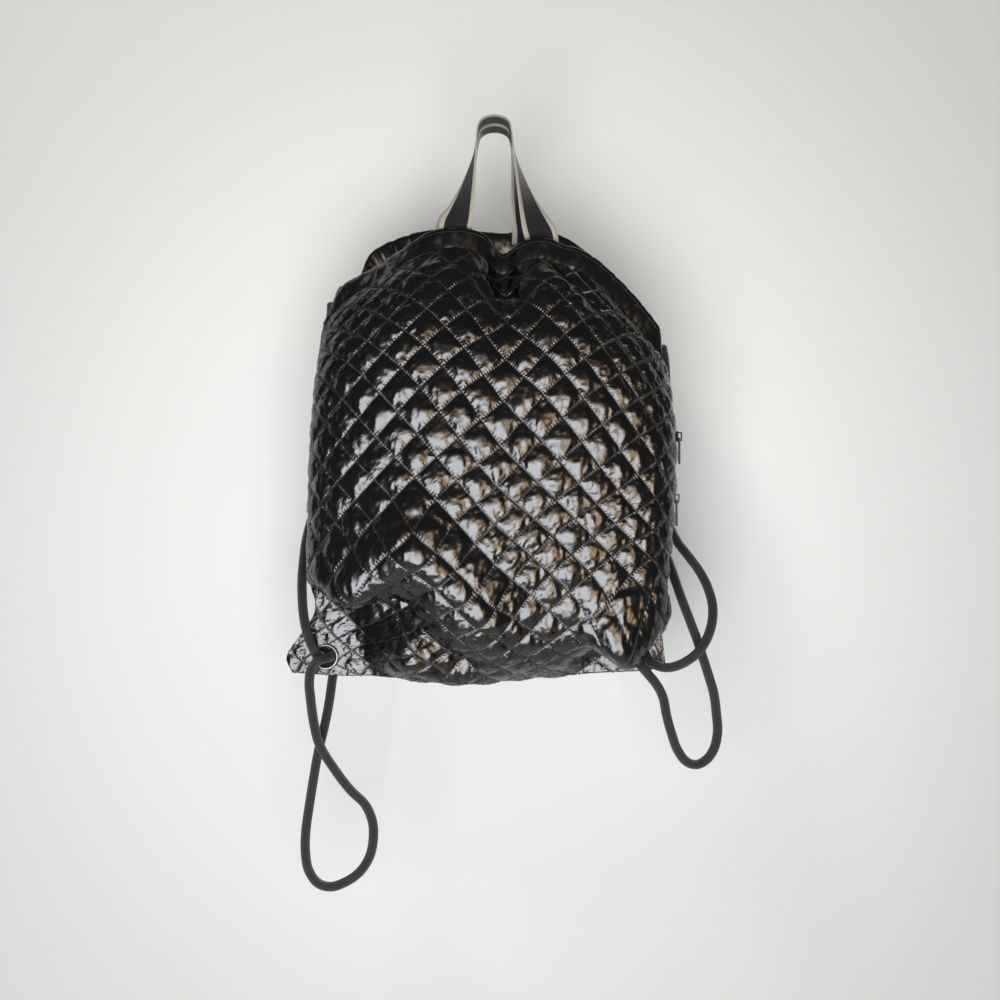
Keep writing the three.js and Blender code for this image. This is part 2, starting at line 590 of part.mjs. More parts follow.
// Knots: the two strands pass through each eyelet and are tied off behind it
const backFace = tabThickness / 2 + clearance + eyelet.lip;
const strandsApart = cord.diameter / 2 + clearance / 2;
for (const [side, centre] of Object.entries(eyeletCentre)) {
  const knotPlace = backFace + clearance + knot.depth / 2;
  const tied = new THREE.SphereGeometry(1, 16, 10);
  tied.scale(knot.width / 2, knot.depth / 2, knot.width / 2).translate(0, knotPlace, 0);
  let solid = solidOf(tied);
  const reach = backFace + knot.ahead + knotPlace;
  for (const x of [-strandsApart, strandsApart]) {
    const strand = new THREE.CylinderGeometry(cord.diameter / 2, cord.diameter / 2, reach, 12);
    solid = solid.add(solidOf(strand.translate(x, knotPlace - reach / 2, 0)));
  }
  addPiece(`${side}_knot`, geometryOf(solid), materials.braidedCord).position.copy(centre);
}

// Zip in the right side seam: tape and closed coil, with two sliders whose pulls hang from them
const tapeSeat = 0.9;
const tapeFace = tapeSeat + zip.tapeThickness;
const coilFace = tapeFace + zip.coilHeight;
const sliderFace = coilFace + clearance + slider.wall;

function sideSeam(v) {
  const place = liningPoint(front, 1, v).add(liningPoint(back, 1, v)).multiplyScalar(0.5);
  place.x += quilt.wall;
  return place;
}

function seamDirections(v) {
  const along = sideSeam(v + normalStep).sub(sideSeam(v - normalStep)).setY(0).normalize();
  return { along, out: new THREE.Vector3(along.z, 0, -along.x) };
}

function zipGeometry() {
  const [tape, coil] = [zip.tape / 2, zip.coil / 2];
  const outline = [
    [-tape, tapeSeat], [tape, tapeSeat], [tape, tapeFace - 0.2], [coil, tapeFace],
    [coil, coilFace], [-coil, coilFace], [-coil, tapeFace], [-tape, tapeFace - 0.2],
  ].map(([x, y]) => new THREE.Vector2(x, y));
  const stations = [];
  const count = 14;
  for (let k = 0; k <= count; k += 1) {
    const v = mix(zip.bottom, zip.top, k / count);
    const { out } = seamDirections(v);
    stations.push({ place: sideSeam(v), across: new THREE.Vector3(0, 1, 0), out, outline });
  }
  return loftGeometry(stations);
}
addPiece("side_zip", zipGeometry(), materials.zipTape);

const toPlane = (x, y, z) => new THREE.Matrix4().makeBasis(x, y, z);
const [axisX, axisY, axisZ] = [[1, 0, 0], [0, 1, 0], [0, 0, 1]].map((v) => new THREE.Vector3(...v));

function shapeOf(corners) {
  return new THREE.Shape(corners.map(([x, y]) => new THREE.Vector2(x, y)));
}

// The slider straddles the coil and carries a bridge. Local frame: X away from the bag, Z along the zip.
const bridgeLegs = 1.4;
function sliderGeometry() {
  const [half, groove] = [slider.width / 2, zip.coil / 2 + clearance];
  const foot = tapeFace + clearance;
  const ceiling = coilFace + clearance;
  const saddle = shapeOf([
    [foot, -half], [sliderFace, -half + 1], [sliderFace, half - 1], [foot, half],
    [foot, groove], [ceiling, groove], [ceiling, -groove], [foot, -groove],
  ]);
  const body = new THREE.ExtrudeGeometry(saddle, { depth: slider.length, bevelEnabled: false });
  body.translate(0, 0, -slider.length / 2);
  const reach = slider.length / 2 - 0.4;
  const top = sliderFace + slider.window + slider.bridgeBar;
  const bridge = shapeOf([
    [-reach, sliderFace - 0.5], [-reach, top - 0.6], [-reach + 0.6, top], [reach - 0.6, top], [reach, top - 0.6],
    [reach, sliderFace - 0.5], [reach - bridgeLegs, sliderFace - 0.5], [reach - bridgeLegs, sliderFace + slider.window],
    [-reach + bridgeLegs, sliderFace + slider.window], [-reach + bridgeLegs, sliderFace - 0.5],
  ]);
  const bar = new THREE.ExtrudeGeometry(bridge, { depth: slider.bridgeWidth, bevelEnabled: false });
  bar.translate(0, 0, -slider.bridgeWidth / 2).applyMatrix4(toPlane(axisZ, axisX, axisY));
  return geometryOf(solidOf(body).add(solidOf(bar)));
}

// The pull is a flat tab with an eye round the bridge and a ring at its free end, drawn hanging from its pivot.
const pivot = new THREE.Vector3(
  sliderFace + slider.window / 2,
  0,
  -(slider.length / 2 - 0.4 - bridgeLegs) + slider.window / 2,
);
function pullGeometry() {
  const [half, eye] = [pull.width / 2, pull.eyeWidth / 2];
  const top = pull.crossbar / 2;
  const ringCentre = -pull.length + pull.ring;
  const outline = shapeOf([[-half + 0.8, top], [-half, top - 0.8], [-half, -pull.eyeLength - 3], [-pull.ring, ringCentre]]);
  outline.absarc(0, ringCentre, pull.ring, Math.PI, 2 * Math.PI, false);
  outline.lineTo(half, -pull.eyeLength - 3);
  outline.lineTo(half, top - 0.8);
  outline.lineTo(half - 0.8, top);
  const corners = [[-eye, -top], [-eye, -top - pull.eyeLength], [eye, -top - pull.eyeLength], [eye, -top]];
  outline.holes.push(new THREE.Path(corners.map(([x, y]) => new THREE.Vector2(x, y))));
  const ringHole = new THREE.Path();
  ringHole.absarc(0, ringCentre, pull.ring - 1.3, 0, 2 * Math.PI, true);
  outline.holes.push(ringHole);
  const tab = new THREE.ExtrudeGeometry(outline, { depth: pull.thickness, bevelEnabled: false, curveSegments: 8 });
  return tab.translate(0, 0, -pull.thickness / 2).applyMatrix4(toPlane(axisY, axisZ, axisX));
}

const sliderStops = { upper: 0.81, lower: 0.3 }; // shares of the way up the zip
for (const [name, share] of Object.entries(sliderStops)) {
  const v = mix(zip.bottom, zip.top, share);
  const { along, out } = seamDirections(v);
  const carriage = new THREE.Group();
  carriage.position.copy(sideSeam(v));
  carriage.rotation.y = Math.atan2(along.x, along.z);
  group.add(carriage);
  addPiece(`${name}_slider`, sliderGeometry(), materials.blackLacquer, carriage);
  const hanging = addPiece(`${name}_pull`, pullGeometry(), materials.blackLacquer, carriage);
  hanging.position.copy(pivot);
  hanging.rotation.y = -carriage.rotation.y; // plumb
}

export default group;
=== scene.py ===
# %% [markdown]
# # Quilted puffer backpack
# The CAD frame gives a drawstring sack of two quilted panels that hangs by its webbing handles. This
# lesson dresses it: padded nylon with sewn diamonds, a gathered casing, striped webbing, braided cord,
# eyelets and a side zip. Lengths are in metres, +Z is up and the quilted front looks along -Y.

# %% The frame
import math

import bpy
import numpy as np
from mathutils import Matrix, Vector


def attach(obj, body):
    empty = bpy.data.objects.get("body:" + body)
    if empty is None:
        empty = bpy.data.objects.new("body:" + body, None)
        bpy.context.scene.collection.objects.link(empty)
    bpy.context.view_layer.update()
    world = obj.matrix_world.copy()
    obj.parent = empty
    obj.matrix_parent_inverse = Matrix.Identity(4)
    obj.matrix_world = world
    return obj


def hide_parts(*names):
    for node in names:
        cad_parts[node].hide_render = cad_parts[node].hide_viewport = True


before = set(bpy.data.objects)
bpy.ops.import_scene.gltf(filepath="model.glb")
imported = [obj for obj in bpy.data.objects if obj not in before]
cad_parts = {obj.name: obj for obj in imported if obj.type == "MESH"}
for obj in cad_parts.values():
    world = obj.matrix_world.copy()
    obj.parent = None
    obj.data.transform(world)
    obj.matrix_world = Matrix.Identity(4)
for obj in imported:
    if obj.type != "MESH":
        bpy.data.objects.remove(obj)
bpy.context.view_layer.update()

BODY = "bag"
MM = 0.001

# %% [markdown]
# ## Sizes
# These are the driving sizes of the CAD source, so that every soft piece lies where its solid is. The sewn
# diamonds are finer here than in the solids, as measured in the photograph.

# %% Sizes and tables
CLEARANCE = 0.3 * MM
SPAN, DROP, BELOW_HOOK, OFF_CENTRE = 0.350, 0.427, 0.107, -0.005
DEPTH = {-1: 0.060, 1: 0.055}
ROUNDNESS, MOUTH = 2.6, 0.036
DIAMOND, ACROSS, DOWN = 0.041, 10, 11
WALL = 2.5 * MM
CASING = {"height": 0.020, "thickness": 0.006, "cord_gap": 0.09}
WEBBING = {"width": 0.032, "thickness": 1.8 * MM, "sewn_in": 0.016}
CORD = 9.2 * MM
STITCH = 2.9 * MM  # length of a stitch and its gap
EYELET = {"bore": 0.0196, "barrel": 1 * MM, "flange": 2.6 * MM, "lip": 1.4 * MM, "along": 0.052, "up": 0.021}
TAB_FLAT, TAB_FULL = 0.086, 0.140
KNOT = {"width": 0.027, "depth": 0.016}
ZIP = {"top": 0.79, "bottom": 0.5, "tape": 0.012, "coil": 5 * MM, "coil_height": 2 * MM, "seat": 0.9 * MM}
FLAT_WIDTH, FLAT_HEIGHT = DIAMOND * ACROSS, DIAMOND * DOWN
HALF_SPAN = SPAN / 2
FINE, STEPS_ACROSS, STEPS_DOWN = 18, 200, 228  # mesh steps in a sewn diamond, across a panel and up it
QUILT = FLAT_WIDTH / STEPS_ACROSS * FINE  # the sewn diamonds


def table(*names, rows):
    return {name: np.array(column, float) for name, column in zip(names, zip(*rows))}


LEFT_SEAM = table("v", "out", "down", rows=[
    (0, -1.09, 0.99), (0.04, -1.12, 0.955), (0.1, -1.045, 0.905), (0.17, -0.965, 0.85), (0.25, -0.985, 0.775),
    (0.45, -0.995, 0.58), (0.66, -0.972, 0.375), (0.85, -0.95, 0.265), (1, -0.93, 0.2),
])
RIGHT_SEAM = table("v", "out", "down", rows=[
    (0, 0.975, 0.985), (0.08, 0.96, 0.93), (0.2, 0.93, 0.86), (0.35, 0.945, 0.77), (0.5, 0.975, 0.675),
    (0.7, 1.005, 0.49), (0.88, 0.99, 0.335), (1, 0.965, 0.292),
])
BOTTOM_SEAM = table("u", "out", "down", "forward", rows=[
    (0, -1.09, 0.99, 0.25), (0.15, -0.8, 0.997, 0.3), (0.3, -0.46, 0.995, 0.75), (0.45, -0.13, 1.008, 0.5),
    (0.6, 0.17, 1.003, -0.1), (0.78, 0.58, 0.996, -0.45), (0.88, 0.82, 0.992, -0.25), (1, 0.975, 0.985, -0.2),
])
RIM_U = (0, 0.08, 0.17, 0.27, 0.34, 0.42, 0.5, 0.6, 0.68, 0.79, 0.91, 1)
RIM_OUT = (-0.93, -0.79, -0.61, -0.42, -0.27, -0.1, 0.08, 0.3, 0.46, 0.66, 0.85, 0.965)


def rim_table(**columns):
    rows = {"u": RIM_U, "out": RIM_OUT, **columns}
    return {name: np.array(column, float) for name, column in rows.items()}


RIM = {
    -1: rim_table(
        down=(0.2, 0.155, 0.108, 0.064, 0.042, 0.045, 0.078, 0.06, 0.08, 0.148, 0.238, 0.292),
        open=(0, 0.6, 0.85, 1, 1, 1, 0.85, 1, 0.95, 0.8, 0.55, 0),
        lean=(10, 20, 35, 30, 6, 4, 4, 4, 10, 8, 2, 0),
        ruffle=(0.3, 0.5, 0.9, 1, 0, 0, 0.6, 0, 1, 0.5, 0.3, 0.3),
    ),
    1: rim_table(
        down=(0.2, 0.13, 0.07, 0.035, 0.025, 0.03, 0.035, 0.03, 0.065, 0.15, 0.245, 0.292),
        open=(0, 0.6, 0.85, 1, 1, 1, 1, 1, 0.95, 0.8, 0.55, 0),
        lean=(0,) * 12,
        ruffle=(0.4, 1, 1, 1, 0, 0, 0.9, 0, 1, 0.8, 0.6, 0.3),
    ),
}
FILLING = table("v", "full", "under", rows=[
    (0, 0, 0), (0.05, 0.36, 0.22), (0.1, 0.62, 0.36), (0.17, 0.84, 0.36), (0.27, 0.97, 0.2), (0.42, 1, 0),
    (0.6, 0.93, 0), (0.75, 0.74, 0), (0.88, 0.4, 0), (1, 0, 0),
])
# Folds: from u, from v, to u, to v, reach, push outwards, drop (the last three in shares of the diamond)
FOLDS = {
    -1: [
        (0.05, 0.28, 0.18, 0.27, 0.6, 0.1, 0.3), (0.18, 0.27, 0.32, 0.35, 0.6, 0.2, 0.2),
        (0.32, 0.35, 0.47, 0.24, 0.6, 0.2, 0.25), (0.02, 0.17, 0.26, 0.19, 0.6, -0.62, -0.1),
        (0.26, 0.19, 0.45, 0.07, 0.5, -0.4, 0), (0.49, 1, 0.5, 0.9, 0.4, -0.3, 0),
        (0.64, 0.98, 0.72, 0.9, 0.35, -0.2, 0), (0.82, 0.21, 0.97, 0.19, 0.75, 0.5, 1.1),
    ],
    1: [
        (0.4, 0.5, 0.6, 0.55, 2, -0.25, 0), (0.12, 0.82, 0.35, 0.7, 0.6, -0.2, 0),
        (0.9, 0.78, 0.65, 0.68, 0.6, -0.2, 0),
    ],
}

# %% [markdown]
# ## The shape of the cloth
# The same rule as in the CAD source: u runs across a panel and v up it, both from 0 to 1, and every table
# is read as a smooth curve. A side of -1 is the front and 1 the back.

# %% The surface rule


def read(rows, key, at):
    keys = rows[key]
    x = np.clip(at, keys[0], keys[-1])
    k = np.clip(np.searchsorted(keys, x, side="left") - 1, 0, len(keys) - 2)
    before, after = np.maximum(k - 1, 0), np.minimum(k + 2, len(keys) - 1)
    width = keys[k + 1] - keys[k]
    t = (x - keys[k]) / width
    row = {}
    for name, values in rows.items():
        slope_a = (values[k + 1] - values[before]) / (keys[k + 1] - keys[before]) * width
        slope_b = (values[after] - values[k]) / (keys[after] - keys[k]) * width
        row[name] = (
            values[k] * (2 * t**3 - 3 * t**2 + 1) + slope_a * (t**3 - 2 * t**2 + t)
            + values[k + 1] * (3 * t**2 - 2 * t**3) + slope_b * (t**3 - t**2)
        )
    return row


def smooth_step(x, low, high):
    t = np.clip((x - low) / (high - low), 0, 1)
    return t * t * (3 - 2 * t)


def mix(a, b, t):
    return a + (b - a) * t


def unit(vectors):
    return vectors / np.linalg.norm(vectors, axis=-1, keepdims=True)


def run_length(points):
    """How far along a line each of its points lies."""
    return np.concatenate([[0], np.cumsum(np.linalg.norm(np.diff(points, axis=0), axis=1))])


half_turn = np.pi * (1 - np.linspace(0, 1, 1501))
section_x = np.sign(np.cos(half_turn)) * np.abs(np.cos(half_turn)) ** (2 / ROUNDNESS)
section_y = np.abs(np.sin(half_turn)) ** (2 / ROUNDNESS)
section_length = np.hypot(np.diff(section_x) * HALF_SPAN, np.diff(section_y) * DEPTH[-1])
section_length = np.concatenate([[0], np.cumsum(section_length)])
section_length /= section_length[-1]


def filled_at(u, v):
    from_corner = np.hypot(np.minimum(u, 1 - u) * FLAT_WIDTH, v * FLAT_HEIGHT)
    return smooth_step(from_corner, TAB_FLAT, TAB_FULL)


def lining_point(side, u, v):
    u, v = np.broadcast_arrays(np.asarray(u, float), np.asarray(v, float))
    left, right = read(LEFT_SEAM, "v", v), read(RIGHT_SEAM, "v", v)
    foot, rim, fill = read(BOTTOM_SEAM, "u", u), read(RIM[side], "u", u), read(FILLING, "v", v)
    section_share = (np.interp(u, section_length, section_x) + 1) / 2
    section_out = np.interp(u, section_length, section_y)
    share = mix(u, section_share, fill["full"])
    place = {}
    for name in ("out", "down"):
        foot_bend = foot[name] - mix(BOTTOM_SEAM[name][0], BOTTOM_SEAM[name][-1], u)
        rim_bend = rim[name] - mix(RIM[side][name][0], RIM[side][name][-1], u)
        rise = np.maximum(v, 0) ** 1.3
        place[name] = mix(left[name], right[name], share) + foot_bend * (1 - v) + rim_bend * rise
    filled = filled_at(u, v)
    corner = np.where(u < 0.5, BOTTOM_SEAM["forward"][0], BOTTOM_SEAM["forward"][-1])
    seam_y = -DIAMOND * mix(corner, foot["forward"] * (1 - v) ** 3, filled)
    mouth_y = side * rim["open"] * MOUTH / 2 * v**2 * filled
    belly = DEPTH[side] * fill["full"] * section_out * filled
    return np.stack([
        OFF_CENTRE + place["out"] * (HALF_SPAN - WALL * filled),
        seam_y + mouth_y + side * (belly + CLEARANCE / 2),
        -BELOW_HOOK - place["down"] * DROP - fill["under"] * DIAMOND * section_out * filled,
    ], -1)


def between_panels(u, v):
    return (lining_point(-1, u, v) + lining_point(1, u, v)) / 2


def normal_of(face, side, u, v, step=0.02):
    along_u = face(side, np.minimum(u + step, 1), v) - face(side, np.maximum(u - step, 0), v)
    along_v = face(side, u, np.minimum(v + step, 1)) - face(side, u, np.maximum(v - step, 0))
    return unit(np.cross(along_u, along_v) * -side)


def folded_point(side, u, v):
    u, v = np.broadcast_arrays(np.asarray(u, float), np.asarray(v, float))
    point = lining_point(side, u, v)
    free = smooth_step(np.minimum(np.minimum(u, 1 - u), v), 0, 0.05) * filled_at(u, v)
    outward = normal_of(lining_point, side, u, v)
    size = np.array([FLAT_WIDTH, FLAT_HEIGHT])
    flat = np.stack([u, v], -1) * size
    for from_u, from_v, to_u, to_v, reach, push, drop in FOLDS[side]:
        start = np.array([from_u, from_v]) * size
        line = np.array([to_u, to_v]) * size - start
        along = np.clip((flat - start) @ line / (line @ line), 0, 1)
        distance = np.linalg.norm(flat - start - along[..., None] * line, axis=-1)
        weight = np.exp(-((distance / (reach * DIAMOND)) ** 2)) * free * DIAMOND
        point = point + outward * (push * weight)[..., None]
        point[..., 2] -= drop * weight
    return point


print("rim of the front panel at its middle", folded_point(-1, 0.5, 1.0).round(4))

# %% [markdown]
# ## Making meshes
# Every piece below is a grid of points that is closed along its edges, with its own flat measure as UVs
# in metres, so that weave, ribs and stitches have their real scale.

# %% Mesh helpers


def add_object(name, data):
    made = bpy.data.objects.new(name, data)
    bpy.context.collection.objects.link(made)
    return made


def add_mesh(name, points, faces, uv=None):
    points = np.asarray(points, float).reshape(-1, 3)
    faces = [tuple(face) for face in faces]
    used = np.zeros(len(points), bool)
    for face in faces:
        used[list(face)] = True
    index = np.cumsum(used) - 1
    mesh = bpy.data.meshes.new(name)
    mesh.from_pydata(points[used].tolist(), [], [[int(index[k]) for k in face] for face in faces])
    mesh.polygons.foreach_set("use_smooth", [True] * len(mesh.polygons))
    if uv is not None:
        flat = np.asarray(uv, float).reshape(-1, 2)[used]
        corner = np.empty(len(mesh.loops), int)
        mesh.loops.foreach_get("vertex_index", corner)
        mesh.uv_layers.new(name="flat").data.foreach_set("uv", flat[corner].ravel())
    return add_object(name, mesh)


def grid_faces(height, width, wrap=False):
    k = np.arange(height * width).reshape(height, width)
    if wrap:
        k = np.concatenate([k, k[:, :1]], 1)
    quads = np.stack([k[:-1, :-1], k[:-1, 1:], k[1:, 1:], k[1:, :-1]], -1)
    return quads.reshape(-1, 4)


def capped_faces(stations, ring):
    """The faces of a row of rings, with a cap on each end."""
    last = (stations - 1) * ring
    return [*grid_faces(stations, ring, wrap=True), range(ring)[::-1], range(last, last + ring)]


def smooth_line(points, step):
    """A centripetal Catmull-Rom line through the points, with a point about every step."""
    p = np.asarray(points, float)
    p = np.vstack([2 * p[0] - p[1], p, 2 * p[-1] - p[-2]])
    gap = np.sqrt(np.linalg.norm(np.diff(p[:, :3], axis=0), axis=1)) + 1e-9
    t = np.concatenate([[0], np.cumsum(gap)])
    line = []
    for k in range(1, len(p) - 2):
        s = np.linspace(t[k], t[k + 1], 24, endpoint=False)[:, None]

        def between(first, last, a, b):
            return (t[last] - s) / (t[last] - t[first]) * a + (s - t[first]) / (t[last] - t[first]) * b

        a1 = between(k - 1, k, p[k - 1], p[k])
        a2 = between(k, k + 1, p[k], p[k + 1])
        a3 = between(k + 1, k + 2, p[k + 1], p[k + 2])
        line.append(between(k, k + 1, between(k - 1, k + 1, a1, a2), between(k, k + 2, a2, a3)))
    line = np.vstack(line + [p[-2:-1]])
    length = run_length(line[:, :3])
    count = max(int(round(length[-1] / step)), 2)
    at = np.linspace(0, length[-1], count + 1)
    return np.stack([np.interp(at, length, line[:, c]) for c in range(line.shape[1])], -1)


def tube(name, line, radius, sides=16, closed=False):
    """A round tube along a line of points, with capped ends. Its UVs are the turn and the length."""
    along = np.gradient(line, axis=0)
    if closed:
        along = np.roll(line, -1, axis=0) - np.roll(line, 1, axis=0)
    along = unit(along)
    across = np.zeros_like(line)
    seed = np.cross(along[0], [0.2, 1, 0.1])
    for k, direction in enumerate(along):
        seed = unit(seed - direction * (seed @ direction))
        across[k] = seed
    third = np.cross(along, across)
    turn = np.linspace(0, 2 * np.pi, sides, endpoint=False)
    ring = across[:, None] * np.cos(turn)[None, :, None] + third[:, None] * np.sin(turn)[None, :, None]
    points = line[:, None] + ring * radius
    faces = capped_faces(len(line), sides)
    uv = np.stack(np.broadcast_arrays(turn[None] / (2 * np.pi), run_length(line)[:, None]), -1)
    if closed:
        last = (len(line) - 1) * sides
        gaps = [np.linalg.norm(points[0] - np.roll(points[-1], s, axis=0)) for s in range(sides)]
        shift = int(np.argmin(gaps))
        faces = faces[:-2]
        for i in range(sides):
            a, b = last + (i - shift) % sides, last + (i + 1 - shift) % sides
            faces.append((a, b, (i + 1) % sides, i))
    return add_mesh(name, points, faces, uv)


# %% [markdown]
# ## Materials
# Coated nylon is almost black and glossy. Effects that repeat are node groups that give only heights,
# masks and colours; the shader stays in each material.

# %% Material helpers


def add_node(tree, kind, inputs=None, **settings):
    made = tree.nodes.new(kind)
    for key, value in settings.items():
        setattr(made, key, value)
    for key, value in (inputs or {}).items():
        if isinstance(value, bpy.types.NodeSocket):
            tree.links.new(value, made.inputs[key])
        else:
            made.inputs[key].default_value = value
    return made


def math_node(tree, operation, a, b=0.0, c=0.0):
    return add_node(tree, "ShaderNodeMath", {0: a, 1: b, 2: c}, operation=operation).outputs[0]


def plus(tree, a, b):
    return math_node(tree, "ADD", a, b)


def times(tree, a, b):
    return math_node(tree, "MULTIPLY", a, b)


def wave(tree, place, length):
    return math_node(tree, "SINE", times(tree, place, 2 * math.pi / length))


def noise(tree, place, scale, detail):
    return add_node(tree, "ShaderNodeTexNoise", {"Vector": place, "Scale": scale, "Detail": detail}).outputs


def map_range(tree, value, low, high, to_low=0.0, to_high=1.0, curve="LINEAR"):
    ends = {"Value": value, 1: low, 2: high, 3: to_low, 4: to_high}
    return add_node(tree, "ShaderNodeMapRange", ends, interpolation_type=curve).outputs[0]


def color_ramp(tree, factor, *colors):
    ramp = add_node(tree, "ShaderNodeValToRGB", {0: factor})
    for element, color in zip(ramp.color_ramp.elements, colors):
        element.color = (*color, 1)
    return ramp.outputs[0]


def mix_colors(tree, factor, first, second):
    made = add_node(tree, "ShaderNodeMix", {"Factor": factor}, data_type="RGBA")
    made.inputs["A"].default_value = (*first, 1)
    made.inputs["B"].default_value = (*second, 1)
    return made.outputs["Result"]


def add_bump(tree, shader, height, distance=1.0):
    made = add_node(tree, "ShaderNodeBump", {"Height": height, "Strength": 1.0, "Distance": distance})
    tree.links.new(made.outputs[0], shader.inputs["Normal"])


def object_place(tree):
    return add_node(tree, "ShaderNodeTexCoord").outputs["Object"]


def flat_map(tree):
    return add_node(tree, "ShaderNodeUVMap", uv_map="flat").outputs[0]


def split(tree, vector):
    return add_node(tree, "ShaderNodeSeparateXYZ", {0: vector}).outputs


def new_group(name, inputs, outputs):
    group = bpy.data.node_groups.new(name, "ShaderNodeTree")
    for label, kind, value in inputs:
        socket = group.interface.new_socket(label, in_out="INPUT", socket_type=kind)
        if value is not None:
            socket.default_value = value
    for label, kind in outputs:
        group.interface.new_socket(label, in_out="OUTPUT", socket_type=kind)
    return group, group.nodes.new("NodeGroupInput").outputs, group.nodes.new("NodeGroupOutput").inputs


def new_material(name, color, roughness, metallic=0.0, **principled):
    material = bpy.data.materials.new(name)
    material.use_nodes = True
    material.diffuse_color = (*color, 1)
    shader = material.node_tree.nodes["Principled BSDF"]
    shader.inputs["Base Color"].default_value = (*color, 1)
    shader.inputs["Roughness"].default_value = roughness
    shader.inputs["Metallic"].default_value = metallic
    for key, value in principled.items():
        shader.inputs[key.replace("_", " ")].default_value = value
    return material, material.node_tree, shader


# %% [markdown]
# ### Stitch lines and crumples
# A sewn line draws the nylon into short puckers at right angles to it, and the rest of the face is crumpled
# from being folded and stuffed. Both are node groups, because the panels and the casings share them.

# %% Groups: stitch lines with the puckers beside them, and crumples
PUCKER = {"scale": 140.0, "detail": 0.5, "reach": 10 * MM, "squeeze": 0.35, "line_apart": 0.37}
TICK = {"height": 0.25, "from": 0.3 * MM, "to": 3 * MM}


def stitch_line_group():
    """The distance to the nearest stitch line, and a height that puckers along the lines."""
    group, given, result = new_group(
        "diamond lines", [("Flat", "NodeSocketVector", None), ("Diamond", "NodeSocketFloat", DIAMOND)],
        [("Distance", "NodeSocketFloat"), ("Pucker", "NodeSocketFloat")],
    )
    xy = split(group, given["Flat"])
    distances, puckers = [], []
    for sign in (1.0, -1.0):
        signed = times(group, xy["Y"], sign)
        total = math_node(group, "DIVIDE", plus(group, xy["X"], signed), given["Diamond"])
        nearest = math_node(group, "ROUND", total)
        off = math_node(group, "ABSOLUTE", math_node(group, "SUBTRACT", total, nearest))
        distance = times(group, times(group, off, given["Diamond"]), math.sqrt(0.5))
        along = math_node(group, "SUBTRACT", xy["X"], signed)
        place = add_node(group, "ShaderNodeCombineXYZ", {
            0: along,
            1: times(group, distance, PUCKER["squeeze"]),
            2: times(group, nearest, PUCKER["line_apart"]),
        })
        ripple = noise(group, place.outputs[0], PUCKER["scale"], PUCKER["detail"])[0]
        fade = map_range(group, distance, 0.0, PUCKER["reach"], 1.0, 0.0, "SMOOTHSTEP")
        tick = wave(group, along, math.sqrt(2) * STITCH)
        close = map_range(group, distance, TICK["from"], TICK["to"], TICK["height"], 0.0)
        puckers.append(plus(group, times(group, ripple, fade), times(group, tick, close)))
        distances.append(distance)
    group.links.new(math_node(group, "MINIMUM", *distances), result["Distance"])
    group.links.new(plus(group, *puckers), result["Pucker"])
    return group


CRUMPLE = {"stretch": (1.5, 1.2, 0.7), "bend": 45.0, "bent_by": 12 * MM, "folds": 95.0, "fold_height": 2.4}
RIDGES = ((38.0, 1.0), (95.0, 0.3))  # the scale and the height of each kind of ridge


def crumple_group():
    """Soft folds and sharp ridges in places that a coarse noise bends."""
    group, given, result = new_group(
        "crumpled nylon", [("Place", "NodeSocketVector", None)], [("Height", "NodeSocketFloat")],
    )

    def on_vectors(operation, a, b):
        return add_node(group, "ShaderNodeVectorMath", {0: a, 1: b}, operation=operation).outputs[0]

    bent = noise(group, given["Place"], CRUMPLE["bend"], 2.0)["Color"]
    bent = on_vectors("MULTIPLY", bent, (CRUMPLE["bent_by"],) * 3)
    place = on_vectors("ADD", on_vectors("MULTIPLY", given["Place"], CRUMPLE["stretch"]), bent)
    total = times(group, noise(group, place, CRUMPLE["folds"], 0.0)[0], CRUMPLE["fold_height"])
    for scale, height in RIDGES:
        off = math_node(group, "SUBTRACT", noise(group, place, scale, 1.0)[0], 0.5)
        ridge = times(group, math_node(group, "ABSOLUTE", off), height)
        total = plus(group, total, ridge)
    group.links.new(total, result["Height"])
    return group


diamond_lines = stitch_line_group()
crumple = crumple_group()

# %% [markdown]
# ### Nylon
# The coated face is smooth, so it mirrors the window as broken light spots wherever the cloth buckles.
# The bump holds only what is finer than the mesh: the groove and the puckers at the stitches, crumples of
# a few millimetres and the thread of the taffeta. Beside a stitch line the face is duller, because the
# needle and the thread rub it.

# %% Nylon
GLOSS = {"IOR": 1.8, "Specular_IOR_Level": 0.58}
ROUGHNESS, AT_STITCH, DULL_REACH = 0.24, 0.34, 1.6 * MM
RELIEF = {"crease": 0.7 * MM, "pucker": 0.6 * MM, "groove": 0.22 * MM, "groove_reach": 1.8 * MM}
TAFFETA = {"scale": 420.0, "height": 0.012 * MM}
NYLON_TONES = ((0.0008, 0.0008, 0.001), (0.004, 0.003, 0.0024))


